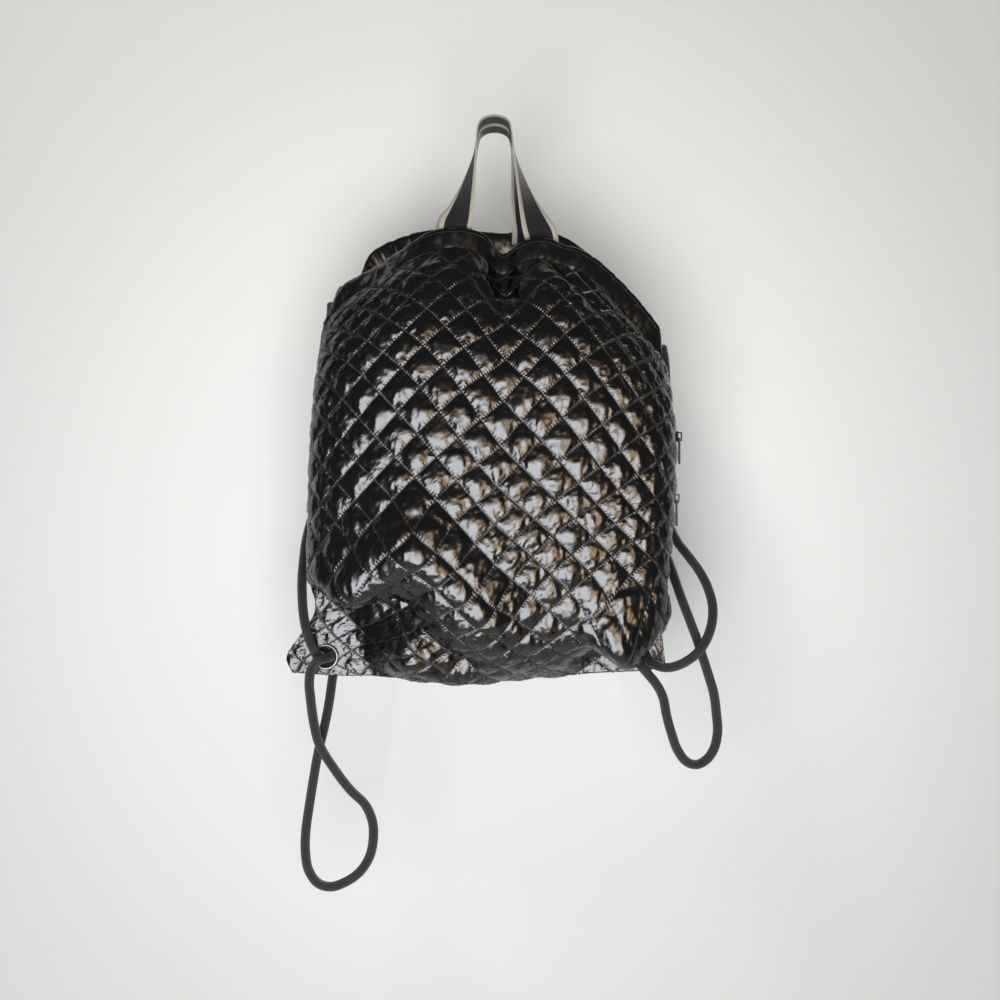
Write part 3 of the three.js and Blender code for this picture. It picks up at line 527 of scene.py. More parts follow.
def nylon(name, quilted):
    material, tree, shader = new_material(name, (0.003, 0.003, 0.0035), ROUGHNESS, **GLOSS)
    place, flat = object_place(tree), flat_map(tree)
    creases = add_node(tree, "ShaderNodeGroup", {"Place": place}, node_tree=crumple).outputs["Height"]
    height = times(tree, creases, RELIEF["crease"])
    if quilted:
        given = {"Flat": flat, "Diamond": QUILT}
        lines = add_node(tree, "ShaderNodeGroup", given, node_tree=diamond_lines).outputs
        height = plus(tree, height, times(tree, lines["Pucker"], RELIEF["pucker"]))
        dull = map_range(tree, lines["Distance"], 0.0, DULL_REACH, AT_STITCH, ROUGHNESS)
        tree.links.new(dull, shader.inputs["Roughness"])
        reach = RELIEF["groove_reach"]
        groove = map_range(tree, lines["Distance"], 0.0, reach, -RELIEF["groove"], 0.0, "SMOOTHSTEP")
        height = plus(tree, height, groove)
    weave = {"Vector": flat, "Scale": TAFFETA["scale"]}
    weave = add_node(tree, "ShaderNodeTexWave", weave, bands_direction="DIAGONAL").outputs[1]
    add_bump(tree, shader, plus(tree, height, times(tree, weave, TAFFETA["height"])))
    tone = noise(tree, place, 18.0, 3.0)[0]
    tree.links.new(color_ramp(tree, tone, *NYLON_TONES), shader.inputs["Base Color"])
    return material


quilted_nylon = nylon("quilted nylon", True)
casing_nylon = nylon("casing nylon", False)

# %% [markdown]
# ### Webbing, cord and the small parts
# The webbing is a black herringbone with a pale stripe along each edge, and painted shade darkens it in the
# valleys of its ribs. The braid's two sets of strands cross over the cord, with painted shade between the
# strands. Thread, metal, lacquer and zip differ only in their numbers.

# %% Webbing, cord, thread, metal and tape
HERRINGBONE = {"width": 4 * MM, "rib": 1.9 * MM, "warp": 0.85 * MM}
RIB_HEIGHT, WARP_HEIGHT = 0.13 * MM, 0.04 * MM
STRIPE = {"from": 10.8 * MM, "to": 11.4 * MM, "ragged": 0.8 * MM, "black": (0.007, 0.0068, 0.0068),
          "pale": (0.56, 0.5, 0.4)}
BRAID = {"strands": 12, "pitch": 11 * MM, "height": 0.32 * MM, "fibre": 1500.0, "fibre_height": 0.12 * MM}
BRAID_SHADE_TONES = ((0.003, 0.003, 0.003), (0.013, 0.013, 0.0125))


def webbing_material():
    material, tree, shader = new_material("striped webbing", (0.5, 0.46, 0.38), 0.85, Sheen_Weight=0.08)
    flat = flat_map(tree)
    xy = split(tree, flat)
    edge = noise(tree, flat, 900.0, 2.0)[0]
    ragged = math_node(tree, "MULTIPLY_ADD", edge, STRIPE["ragged"], -STRIPE["ragged"] / 2)
    from_middle = plus(tree, math_node(tree, "ABSOLUTE", xy["X"]), ragged)
    stripe = map_range(tree, from_middle, STRIPE["from"], STRIPE["to"])
    zigzag = math_node(tree, "PINGPONG", xy["X"], HERRINGBONE["width"])
    rib = wave(tree, plus(tree, zigzag, xy["Y"]), HERRINGBONE["rib"])
    warp = wave(tree, xy["X"], HERRINGBONE["warp"])
    rib_height, warp_height = times(tree, rib, RIB_HEIGHT), times(tree, warp, WARP_HEIGHT)
    add_bump(tree, shader, plus(tree, rib_height, warp_height))
    color = mix_colors(tree, stripe, STRIPE["black"], STRIPE["pale"])
    # Painted shade: the webbing colour is scaled darker, down to 0.55 of it, in the valleys of the ribs
    shade = {0: color, "Scale": map_range(tree, rib, -1.0, 1.0, 0.55, 1.0)}
    shaded = add_node(tree, "ShaderNodeVectorMath", shade, operation="SCALE").outputs[0]
    tree.links.new(shaded, shader.inputs["Base Color"])
    return material


def braid_material():
    material, tree, shader = new_material("braided cord", (0.03, 0.03, 0.031), 0.62, Sheen_Weight=0.12)
    xy = split(tree, flat_map(tree))
    turn = times(tree, xy["X"], 2 * math.pi * BRAID["strands"])
    rise = times(tree, xy["Y"], 2 * math.pi / BRAID["pitch"])
    both_ways = [plus(tree, turn, times(tree, rise, way)) for way in (1.0, -1.0)]
    strand = math_node(tree, "MAXIMUM", *[math_node(tree, "SINE", way) for way in both_ways])
    fibre = times(tree, noise(tree, object_place(tree), BRAID["fibre"], 2.0)[0], BRAID["fibre_height"])
    add_bump(tree, shader, plus(tree, times(tree, strand, BRAID["height"]), fibre))
    # Painted shade: the cord's colour follows the strand height, darker in the gaps between the strands and
    # lighter on their crests
    tone = math_node(tree, "MULTIPLY_ADD", strand, 0.5, 0.5)
    tree.links.new(color_ramp(tree, tone, *BRAID_SHADE_TONES), shader.inputs["Base Color"])
    return material


def worn_material(name, color, roughness, metallic, scale):
    material, tree, shader = new_material(name, color, roughness, metallic)
    wear = noise(tree, object_place(tree), scale, 4.0)[0]
    rough = map_range(tree, wear, 0.0, 1.0, roughness - 0.1, roughness + 0.14)
    tree.links.new(rough, shader.inputs["Roughness"])
    add_bump(tree, shader, wear, 0.08 * MM)
    return material


striped_webbing = webbing_material()
braided_cord = braid_material()
thread = worn_material("stitching thread", (0.028, 0.028, 0.028), 0.4, 0.0, 3000.0)
gunmetal = worn_material("dark eyelet metal", (0.24, 0.24, 0.25), 0.3, 1.0, 260.0)
lacquer = worn_material("black lacquer", (0.02, 0.02, 0.022), 0.34, 0.3, 400.0)
zip_cloth = worn_material("zip tape", (0.014, 0.014, 0.015), 0.8, 0.0, 1400.0)
zip_coil = worn_material("zip coil", (0.02, 0.02, 0.02), 0.45, 0.0, 900.0)


def dress(piece, material, slot=None, *nodes):
    piece.data.materials.clear()
    piece.data.materials.append(material)
    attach(piece, BODY)
    if nodes:
        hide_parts(*nodes)


# %% [markdown]
# ## Camera, backdrop and light
# The photograph looks straight at the bag from a little over a metre. The nylon mirrors what is in front
# of it: a wide cool window in front and below, and two narrow warm strips beside it and above. The key,
# the fill and the wash light the wall and the cords, and the nylon doesn't mirror them. The wall is clear
# from behind and to the lights, so that a view from behind shows the bag in its back light.

# %% Camera and stage
CAMERA_AT, VIEW_WIDTH, SENSOR = (0.004, -1.3, -0.364), 0.970, 36
WALL_AT, FLOOR_AT, SWEEP = 0.14, -2.4, 0.35
STAGE_HALF, STAGE_FRONT, STAGE_TOP = 3.0, -3.0, 1.6
WALL_LIGHT_POOL_TONES, LIGHT_POOL_FADE = ((0.89, 0.885, 0.83), (0.65, 0.645, 0.605)), 0.75

camera_data = bpy.data.cameras.new("camera")
camera_data.sensor_width = SENSOR
camera_data.lens = SENSOR / 2 / math.tan(math.atan(VIEW_WIDTH / 2 / -CAMERA_AT[1]))
camera = add_object("camera", camera_data)
camera.location = CAMERA_AT
camera.rotation_euler = (math.pi / 2, 0, 0)
bpy.context.scene.camera = camera

profile = [(STAGE_FRONT, FLOOR_AT)]
for t in np.linspace(0, np.pi / 2, 13):
    profile.append((WALL_AT - SWEEP + SWEEP * math.sin(t), FLOOR_AT + SWEEP - SWEEP * math.cos(t)))
profile.append((WALL_AT, STAGE_TOP))
stage_points = np.array([[(x, y, z) for x in (-STAGE_HALF, STAGE_HALF)] for y, z in profile])
backdrop = add_mesh("backdrop", stage_points, grid_faces(len(profile), 2))
pale, pale_tree, pale_shader = new_material("pale wall", (0.72, 0.73, 0.71), 0.9)
# Painted light: the wall's colour is lighter in a pool round the point behind the bag and darker towards its
# edges
from_middle = {0: object_place(pale_tree), 1: (CAMERA_AT[0], WALL_AT, CAMERA_AT[2])}
from_middle = add_node(pale_tree, "ShaderNodeVectorMath", from_middle, operation="DISTANCE").outputs["Value"]
fall = map_range(pale_tree, from_middle, 0.0, LIGHT_POOL_FADE, curve="SMOOTHSTEP")
pale_tree.links.new(mix_colors(pale_tree, fall, *WALL_LIGHT_POOL_TONES), pale_shader.inputs["Base Color"])
from_behind = add_node(pale_tree, "ShaderNodeNewGeometry").outputs["Backfacing"]
to_a_light = add_node(pale_tree, "ShaderNodeLightPath").outputs["Is Shadow Ray"]
clear_behind = add_node(pale_tree, "ShaderNodeMixShader", {
    0: math_node(pale_tree, "MAXIMUM", from_behind, to_a_light),
    1: pale_shader.outputs[0],
    2: add_node(pale_tree, "ShaderNodeBsdfTransparent").outputs[0],
})
pale_tree.links.new(clear_behind.outputs[0], pale_tree.nodes["Material Output"].inputs["Surface"])
backdrop.data.materials.append(pale)


def add_light(name, at, toward, size, power, color, mirrored=True, lights_room=True):
    data = bpy.data.lights.new(name, "AREA")
    data.shape = "RECTANGLE"
    data.size, data.size_y = size
    data.energy = power
    data.color = color
    light = add_object(name, data)
    light.location = at
    light.rotation_euler = (Vector(toward) - Vector(at)).to_track_quat("-Z", "Y").to_euler()
    light.visible_glossy = mirrored
    light.visible_diffuse = lights_room


BAG_CENTRE = (0, 0, -0.33)
DAYLIGHT, WHITE, WARM = (0.92, 0.95, 1.0), (1.0, 0.99, 0.97), (1.0, 0.66, 0.36)
add_light("window", (-0.15, -1.5, -0.86), BAG_CENTRE, (1.4, 1.2), 33, DAYLIGHT)
add_light("warm side", (0.72, -1.4, -0.75), BAG_CENTRE, (0.3, 1.1), 5, WARM, lights_room=False)
add_light("warm top", (0.1, -1.55, -0.12), BAG_CENTRE, (1.5, 0.2), 2.4, WARM, lights_room=False)
add_light("key", (-0.85, -1.0, 1.1), BAG_CENTRE, (0.4, 0.4), 9, WHITE, mirrored=False)
add_light("fill", (1.0, -1.2, 0.5), BAG_CENTRE, (1.0, 1.0), 4, WHITE, mirrored=False)
add_light("back light", (0.7, 1.5, 0.4), BAG_CENTRE, (1.2, 1.2), 45, WHITE)
add_light("wall wash", (0.0, -0.35, 0.75), (0, WALL_AT, -0.35), (1.6, 0.3), 1.2, WHITE, mirrored=False)
world = bpy.data.worlds.new("studio")
world.use_nodes = True
sky = world.node_tree.nodes["Background"].inputs
sky["Color"].default_value = (0.80, 0.84, 0.9, 1)
sky["Strength"].default_value = 0.065
bpy.context.scene.world = world
bpy.context.scene.view_settings.view_transform = "Standard"

# %% [markdown]
# ## Cords
# The drawstring is also the shoulder strap: two strands on each side leave the casing behind the
# shoulder, hang down the side and go through the corner eyelet. The routes are the CAD routes, carried on
# through the eyelet to the knot.

# %% Cord routes in metres
CORD_ROUTES = {
    "left_cord_upper": [
        (-160.5, 9.5, -173.5), (-162, 18, -181), (-165, 27, -197), (-167, 36, -225), (-168, 43, -260),
        (-169, 47, -300), (-173, 45, -338), (-180, 35, -370), (-184.8, 24, -393), (-186.5, 14, -407),
        (-187.2, 6, -422), (-187.5, -3, -441), (-186, -11, -461), (-183, -18, -480), (-178.5, -22, -495),
        (-173, -24, -507), (-169.6, -21.3, -513.4), (-168.4, -15, -514.6), (-168.4, -7, -514.6),
    ],
    "left_cord_loop": [
        (-149, 13, -157), (-153, 16, -163), (-155.5, 23, -173), (-156, 33, -190), (-155.5, 43, -217),
        (-154, 49, -250), (-152, 55, -300), (-150, 58, -350), (-150, 55, -410), (-152, 45, -460),
        (-156, 30, -505), (-160, 18, -534.5), (-163, 11, -560.7), (-166.8, 7, -583), (-172.7, 3, -609),
        (-176.5, 1, -631.5), (-180.4, 0, -656.7), (-184.3, 0, -684.8), (-184.8, 0, -704.2),
        (-181.8, 0, -722.5), (-172.7, 0, -735.5), (-160, 0, -739.1), (-145.5, 0, -734.3),
        (-131.9, 0, -724.6), (-122.2, -1, -709), (-118.8, -2, -692.6), (-119.3, -3, -676),
        (-126.1, -5, -658.6), (-140.6, -8, -643.1), (-156.2, -10, -621.8), (-169.3, -12, -599.5),
        (-174.6, -15, -577.2), (-177, -20, -552.9), (-177.5, -25, -538.4), (-175, -31, -526),
        (-168.5, -34, -516.5), (-162, -29, -514), (-159.3, -17.9, -514.5), (-158.8, -7, -514.6),
    ],
    "right_cord_upper": [
        (162.5, 9.5, -215), (165.5, 18, -224), (168, 27, -243), (169, 36, -270), (168, 44, -305),
        (168, 47, -340), (169, 43, -368), (173, 34, -390), (179, 26, -404.5), (189, 17, -419),
        (198.9, 10, -433.6), (205.6, 4, -448), (209.5, -3, -464.6), (208.5, -9, -480.2),
        (203.7, -13, -494.7), (195.9, -16, -507.3), (186.2, -17, -516), (173.6, -16, -522.8),
        (163, -13.5, -524.8), (153, -9.5, -522.5), (147, -2.5, -518), (145.1, 4, -515.9),
        (144.9, 11.5, -515.7),
    ],
    "right_cord_loop": [
        (152, 15.5, -209), (154, 24, -219), (155, 35, -238), (155, 46, -270), (153, 54, -310),
        (153, 58, -345), (157, 53, -385), (165, 42, -407), (171.5, 31, -425), (176, 21, -441),
        (181, 11, -458.8), (187.7, 5, -478.2), (195, 1, -498.6), (199.8, -1, -514.1), (205.6, -2, -532.5),
        (211, -3, -551.9), (213.4, -4, -572.3), (214.4, -4, -587.8), (211, -4, -604.3), (203.7, -4, -615),
        (194, -4, -619.8), (184.3, -4, -616.9), (176, -4, -606.3), (169.8, -5, -589.8),
        (164.9, -6, -572.3), (161, -8, -553.9), (154.5, -10.5, -541.3), (146, -12.5, -531),
        (138.5, -9.5, -522), (135.8, -2, -517.2), (135.2, 5, -515.7), (135.2, 11.5, -515.7),
    ],
}


EYELET_U, EYELET_V = EYELET["along"] / FLAT_WIDTH, EYELET["up"] / FLAT_HEIGHT
EYELET_AT = {"left": between_panels(EYELET_U, EYELET_V), "right": between_panels(1 - EYELET_U, EYELET_V)}
KNOT_REACH, PULLED_TIGHT = 3, 0.44  # half the trefoil's own width, and a tight strand's radius in cord widths

t = np.linspace(0, 2 * np.pi, 72, endpoint=False)
trefoil = np.stack([np.sin(t) + 2 * np.sin(2 * t), -1.25 * np.sin(3 * t), np.cos(t) - 2 * np.cos(2 * t)], -1)
trefoil *= (KNOT["width"] - CORD) / 2 / KNOT_REACH
behind = WALL + CLEARANCE * 2 + EYELET["lip"] + KNOT["depth"] / 2
knots = {}
for side, centre in EYELET_AT.items():
    strand = trefoil + centre + [0, behind, 0]
    knots[side] = tube(f"{side}_knot_tied", strand, CORD * PULLED_TIGHT, closed=True)
    dress(knots[side], braided_cord, "braided_cord", f"{side}_knot")

for name, route in CORD_ROUTES.items():
    line = smooth_line(np.array(route) * MM, 2.2 * MM)
    cord = tube(f"{name}_braid", line, CORD / 2)
    dress(cord, braided_cord, "braided_cord", name)

# %% [markdown]
# ## Quilted panels
# Each panel is two layers of nylon over wadding, sewn through along diagonal lines. It is simulated as
# cloth: the stitch lines are held, the cloth between them is a little too large and is blown out by the
# wadding, and so it swells and puckers as the real one does. The lining stays plain.

# %% Cloth
SHIFT = 2  # steps from the left seam to the first crossing
SIM_SCALE, SIM_FRAMES = 10, 14  # the solver works best on large objects
CLOTH = {
    "quality": 4, "mass": 0.3, "tension_stiffness": 15, "compression_stiffness": 15, "bending_stiffness": 0.3,
    "use_pressure": True, "uniform_pressure_force": 2.6, "shrink_min": -0.028, "vertex_group_mass": "held",
}
LEVEL, SAG = 0.126, 0.042  # how far the rows climb to the right, and sag in the middle
PILLOW, PILLOW_IN_TAB, ROUGH = 2.2 * MM, 0.6, 0.3 * MM  # the height the cloth starts from, and its unevenness
BLOWN_REACH = 6 * MM  # no point moves farther than this
SEAM_BAND, RIM_BAND = 0.06, (0.02, 0.09)  # where the padding thins out, in shares of the panel
THIN_AT_RIM, STILL_AT_RIM = 0.25, 0.3
EYELET_BAND = (17 * MM, 30 * MM)  # from the eyelet's centre: flat, and padded again
HOLE_BAND = {"around": 2.2 * MM, "deep": 0.02}  # the points that the round edge of the hole moves


def panel_grid():
    """Steps across and up the flat panel, and where they lie on its shape, with level rows."""
    i, j = np.meshgrid(np.arange(STEPS_ACROSS + 1), np.arange(STEPS_DOWN + 1))
    u, v = i / STEPS_ACROSS, j / STEPS_DOWN
    climb = LEVEL * (u - 0.5) - SAG * 4 * u * (1 - u)
    return i, j, u, v + climb * np.sin(np.pi * v)


def from_eyelet(points):
    """The distance to the nearest eyelet's centre."""
    return np.min([np.linalg.norm(points - centre, axis=-1) for centre in EYELET_AT.values()], axis=0)


def blow_out(name, points, held, sheet_faces):
    mesh = bpy.data.meshes.new(name)
    mesh.from_pydata((points.reshape(-1, 3) * SIM_SCALE).tolist(), [], sheet_faces.tolist())
    sheet = add_object(name, mesh)
    sheet.vertex_groups.new(name="held").add(np.flatnonzero(held.ravel()).tolist(), 1.0, "REPLACE")
    cloth = sheet.modifiers.new("Cloth", "CLOTH")
    for setting, value in CLOTH.items():
        setattr(cloth.settings, setting, value)
    cloth.settings.effector_weights.gravity = 0
    cloth.collision_settings.use_collision = False
    for step in range(1, SIM_FRAMES + 1):
        bpy.context.scene.frame_set(step)
    result = sheet.evaluated_get(bpy.context.evaluated_depsgraph_get()).data
    moved = np.empty(len(result.vertices) * 3)
    result.vertices.foreach_get("co", moved)
    bpy.data.objects.remove(sheet)
    bpy.context.scene.frame_set(1)
    return moved.reshape(points.shape) / SIM_SCALE


def panel_mesh(name, side, keep, outer, inner, uv):
    height, width = outer.shape[:2]
    layer = height * width
    cell = grid_faces(height, width).reshape(height - 1, width - 1, 4)
    faces = [cell[keep], cell[keep][:, ::-1] + layer]
    padded = np.pad(keep, 1)
    below, right, above, left = padded[:-2, 1:-1], padded[1:-1, 2:], padded[2:, 1:-1], padded[1:-1, :-2]
    for neighbour, a, b in ((below, 0, 1), (right, 1, 2), (above, 2, 3), (left, 3, 0)):
        rim = cell[keep & ~neighbour]
        faces.append(np.stack([rim[:, b], rim[:, a], rim[:, a] + layer, rim[:, b] + layer], -1))
    faces = np.concatenate(faces)
    if side > 0:
        faces = faces[:, ::-1]
    points = np.concatenate([outer.reshape(-1, 3), inner.reshape(-1, 3)])
    return add_mesh(name, points, faces.tolist(), np.concatenate([uv.reshape(-1, 2)] * 2))


def make_panel(name, side):
    i, j, u, v = panel_grid()
    lining = folded_point(side, u, v)
    outward = normal_of(folded_point, side, u, v)
    rising = np.sin(np.pi * ((i - SHIFT + j) % FINE) / FINE)
    falling = np.sin(np.pi * ((i - SHIFT - j) % FINE) / FINE)
    on_line = (rising * falling) < 1e-6
    seam = (i == 0) | (i == i.max()) | (j == 0)
    on_edge = seam | (j == j.max())
    rng = np.random.default_rng(11 + side)
    beside_eyelet = smooth_step(from_eyelet(lining), *EYELET_BAND)
    pillow = np.sqrt(np.abs(rising * falling)) * mix(PILLOW_IN_TAB, 1, filled_at(u, v)) * beside_eyelet
    rough = rng.normal(0, ROUGH, u.shape) * (pillow > 0)
    from_rim = smooth_step(1 - v, *RIM_BAND)
    thin = smooth_step(np.minimum(u, 1 - u), 0, SEAM_BAND) * mix(THIN_AT_RIM, 1, from_rim)
    skin = lining + outward * (WALL + pillow * PILLOW * thin + rough * thin)[..., None]
    meeting = side * np.maximum(side * skin[..., 1], side * lining[..., 1])
    skin[..., 1] = np.where(seam, meeting, skin[..., 1])
    sheet_faces = grid_faces(*u.shape)
    if side > 0:
        sheet_faces = sheet_faces[:, ::-1]
    blown = blow_out(name, skin, on_line | on_edge | (beside_eyelet < 0.1), sheet_faces)
    move = blown - skin
    reach = np.linalg.norm(move, axis=-1, keepdims=True)
    still = mix(STILL_AT_RIM, 1, from_rim)[..., None]
    skin = skin + move * still * np.minimum(1, BLOWN_REACH / np.maximum(reach, 1e-9))
    print(name, "moved at most", round(float(reach.max()) / MM, 2), "mm")
    centre_u, centre_v = (u[:-1, :-1] + u[1:, 1:]) / 2, (v[:-1, :-1] + v[1:, 1:]) / 2
    middle = lining_point(side, centre_u, centre_v)
    keep = np.ones(centre_u.shape, bool)
    hole = EYELET["bore"] / 2 + EYELET["barrel"] + CLEARANCE
    for centre in EYELET_AT.values():
        away = np.hypot(middle[..., 0] - centre[0], middle[..., 2] - centre[2])
        keep &= away > hole
        for layer in (skin, lining):
            offset = layer[..., [0, 2]] - centre[[0, 2]]
            far = np.linalg.norm(offset, axis=-1, keepdims=True)
            beside = np.abs(layer[..., 1:2] - centre[1]) < HOLE_BAND["deep"]
            close = (far < hole + HOLE_BAND["around"]) & beside
            round_edge = centre[[0, 2]] + offset / far * np.maximum(far, hole)
            layer[..., [0, 2]] = np.where(close, round_edge, layer[..., [0, 2]])
    uv = np.stack([i - SHIFT, j], -1) * QUILT / FINE
    return panel_mesh(f"{name}_quilt", side, keep, skin, lining, uv), skin, outward


panels = {}
for name, side in (("front_panel", -1), ("back_panel", 1)):
    panels[side] = make_panel(name, side)
    dress(panels[side][0], quilted_nylon, "quilted_nylon", name)
    print(name, len(panels[side][0].data.polygons), "faces")

# %% [markdown]
# ## Casings
# The drawstring runs in a plain tube of nylon along the rim. Where the cord is drawn, the tube gathers
# into ruffles.

# %% Casings
TOPSTITCH = 8  # the point of a casing's section, counted from its foot, that carries the topstitch
STATIONS, RING = 640, 22  # sections along a casing, and points round each
GATHERS = ((0.017, 1.0), (0.0085, 0.5), (0.0052, 0.28))  # wave length and height of each kind
GATHER, GATHER_AT_CORD = 0.05, {-1: 0.25, 1: 0.6}
FULLNESS = {-1: 0.62, 1: 0.85}  # how far each casing bulges, in shares of its thickness
FOOT, SWAY = 4 * MM, 1.2 * MM  # how deep the foot is sewn in, and how far a gather sways
THREAD_UP = 0.2 * MM  # how far the stitches lie above the cloth


def rim_place(side, u):
    return folded_point(side, u, 1.0) + normal_of(folded_point, side, u, 1.0) * WALL / 2


def rim_directions(side, u, step=0.02):
    rim = read(RIM[side], "u", u)
    lean = np.radians(rim["lean"])
    along = rim_place(side, np.minimum(u + step, 1)) - rim_place(side, np.maximum(u - step, 0))
    along = unit(along)
    up = np.stack([np.zeros_like(lean), -side * np.sin(lean), np.cos(lean)], -1)
    up = unit(up - along * (up * along).sum(-1, keepdims=True))
    return rim, up, np.cross(along, up) * -side


def make_casing(name, side, from_u, to_u):
    u = np.linspace(from_u, to_u, STATIONS)
    rim, up, out = rim_directions(side, u)
    rng = np.random.default_rng(5 + side)
    length = run_length(rim_place(side, u))
    waves = 0
    for wave_length, share in GATHERS:
        phase = rng.uniform(0, 6.28) + 1.3 * np.sin(length / wave_length * 1.7)
        waves = waves + share * np.sin(2 * np.pi * length / wave_length + phase)
    gather = (waves * (GATHER + GATHER_AT_CORD[side] * rim["ruffle"]))[:, None]
    half = CASING["thickness"] / 2
    turn = np.linspace(0, 2 * np.pi, RING, endpoint=False)
    height = (1 - np.cos(turn)) / 2
    bulge = np.sign(np.sin(turn)) * np.abs(np.sin(turn)) ** 0.6 * FULLNESS[side]
    ends = smooth_step(np.minimum(u - from_u, to_u - u), -0.01, 0.09)[:, None]
    lift = mix(-FOOT, CASING["height"] * ends * (1 + 0.03 * gather), height[None])
    sway = half * bulge[None] * (1 + 0.12 * gather) + SWAY * gather * height[None] ** 0.7
    points = rim_place(side, u)[:, None] + up[:, None] * lift[..., None] + out[:, None] * sway[..., None]
    faces = capped_faces(STATIONS, RING)
    if side > 0:
        faces = [f[::-1] for f in faces]
    uv = np.stack(np.broadcast_arrays(length[:, None], height[None] * CASING["height"]), -1)
    casing = add_mesh(f"{name}_gathered", points, faces, uv)
    dress(casing, casing_nylon, "casing_nylon", name)
    return points[:, TOPSTITCH] + out * THREAD_UP


topstitch_lines = {
    -1: make_casing("front_channel", -1, 0.0, 1.0),
    1: make_casing("back_channel", 1, CASING["cord_gap"], 1 - CASING["cord_gap"]),
}

# %% [markdown]
# ## Handles
# Flat webbing, sewn inside each rim. It turns a quarter on its way up, so that both handles lie side by
# side on a hook.

# %% Handles
HANDLE_SEATS = {-1: (0.375, 0.592), 1: (0.365, 0.56)}
ARCH = {"left": -17.5 * MM, "right": 15 * MM, "shoulder": 12 * MM, "crown": -1 * MM}
# A leg: share of the height, share of the way out to the seat, and share of the quarter turn
HANDLE_LEG = [
    (0, 1, 0), (0.1, 0.84, 0.24), (0.22, 0.66, 0.46), (0.38, 0.45, 0.66), (0.55, 0.26, 0.82),
    (0.73, 0.09, 0.95), (0.88, 0, 1),
]
CROWN_SHARES = (-0.85, -0.5, 0, 0.5, 0.85)
WEBBING_STEPS = 14  # points across each face of the webbing


def seat_place(side, u):
    reach = (WEBBING["width"] / 2 + CLEARANCE) / FLAT_WIDTH
    at = np.array([u - reach, u, u + reach])
    _, up, out = rim_directions(side, at)
    inner = rim_place(side, at) + up * CASING["height"] / 2 - out * CASING["thickness"] / 2
    place = rim_place(side, np.array([u]))[0]
    place[1] = -side * ((-side * inner[:, 1]).max() + 2 * CLEARANCE + WEBBING["thickness"] / 2)
    place[2] += CASING["height"] + 5 * CLEARANCE
    return place


def handle_stations(side):
    arch_y = side * (WEBBING["width"] + CLEARANCE) / 2
    legs = []
    for seat_u, arch_x, mirror in zip(HANDLE_SEATS[side], (ARCH["left"], ARCH["right"]), (1, -1)):
        seat = seat_place(side, seat_u)
        leg = []
        for up, out, turn in HANDLE_LEG[:1] + HANDLE_LEG:
            angle = turn * math.pi / 2
            x, y, z = mix(arch_x, seat[0], out), mix(seat[1], arch_y, min(up / 0.5, 1)), mix(seat[2], 0, up)
            leg.append((x, y, z, mirror * math.cos(angle), -math.sin(angle)))
        leg[0] = (*leg[0][:2], leg[0][2] - WEBBING["sewn_in"], *leg[0][3:])
        legs.append(leg)
    crown = []
    for share in CROWN_SHARES:
        reach = ARCH["crown"] - ARCH["left"] if share < 0 else ARCH["right"] - ARCH["crown"]
        drop = (math.sqrt(1 - share**2) - 1) * ARCH["shoulder"]
        crown.append((ARCH["crown"] + share * reach, arch_y, WEBBING["thickness"] / 2 + drop, 0, -1))
    return legs[0] + crown + legs[1][::-1]


def make_handle(name, side):
    line = smooth_line(handle_stations(side), 2 * MM)
    place = line[:, :3]
    across = np.stack([line[:, 3], line[:, 4], 0 * line[:, 4]], -1)
    along = unit(np.gradient(place, axis=0))
    across = unit(across - along * (across * along).sum(1, keepdims=True))
    out = np.cross(along, across)
    half, thick = WEBBING["width"] / 2, WEBBING["thickness"] / 2
    x = np.linspace(-half, half, WEBBING_STEPS)
    taper = np.sqrt(np.clip(1 - (np.abs(x) / half) ** 8, 0.09, 1))
    ring_x = np.concatenate([x, x[::-1]])
    ring_y = np.concatenate([-thick * taper, thick * taper])
    points = place[:, None] + across[:, None] * ring_x[None, :, None] + out[:, None] * ring_y[None, :, None]
    length = run_length(place)
    faces = capped_faces(len(line), len(ring_x))
    uv = np.stack(np.broadcast_arrays(ring_x[None], length[:, None]), -1)
    handle = add_mesh(f"{name}_webbing", points, faces, uv)
    dress(handle, striped_webbing, "striped_webbing", name)
    print(name, "webbing is", round(float(length[-1]), 3), "m long")


make_handle("front_handle", -1)
make_handle("back_handle", 1)

# %% [markdown]
# ## Eyelets
# A rolled metal spool through both layers of each corner, with a rounded flange on each face.

# %% Eyelets
EYELET_SIDES = 64


def make_eyelet(side, centre):
    bore = EYELET["bore"] / 2
    barrel, flange = bore + EYELET["barrel"], bore + EYELET["flange"]
    seat = WALL + CLEARANCE * 1.5
    face = seat + EYELET["lip"]
    roll = np.linspace(0, np.pi, 9)
    middle, half = (bore + flange) / 2, (flange - bore) / 2
    crest = [(middle - half * math.cos(t), seat + (face - seat) * math.sin(t) ** 0.7) for t in roll]
    profile = crest + [(barrel, seat), (barrel, -seat)] + [(r, -y) for r, y in crest[::-1]]
    turn = np.linspace(0, 2 * np.pi, EYELET_SIDES, endpoint=False)
    points = np.array([[(r * math.cos(t), y, r * math.sin(t)) for t in turn] for r, y in profile])
    faces = grid_faces(len(profile) + 1, EYELET_SIDES, wrap=True) % (len(profile) * EYELET_SIDES)
    ring = add_mesh(f"{side}_eyelet_rolled", points + centre, faces)
    dress(ring, gunmetal, "eyelet_metal", f"{side}_eyelet")


for side, centre in EYELET_AT.items():
    make_eyelet(side, centre)

# %% [markdown]
# ## Zip
# A short zip closes the right side seam: woven tape with a coil. The two sliders and their pulls are the
# CAD solids.

# %% Zip


def side_seam(v):
    place = between_panels(1.0, v)
    place[..., 0] += WALL
    return place


def seam_out(v, step=0.02):
    along = side_seam(v + step) - side_seam(v - step)
    along[..., 1] = 0
    along = unit(along)
    return np.stack([along[..., 2], 0 * along[..., 0], -along[..., 0]], -1)


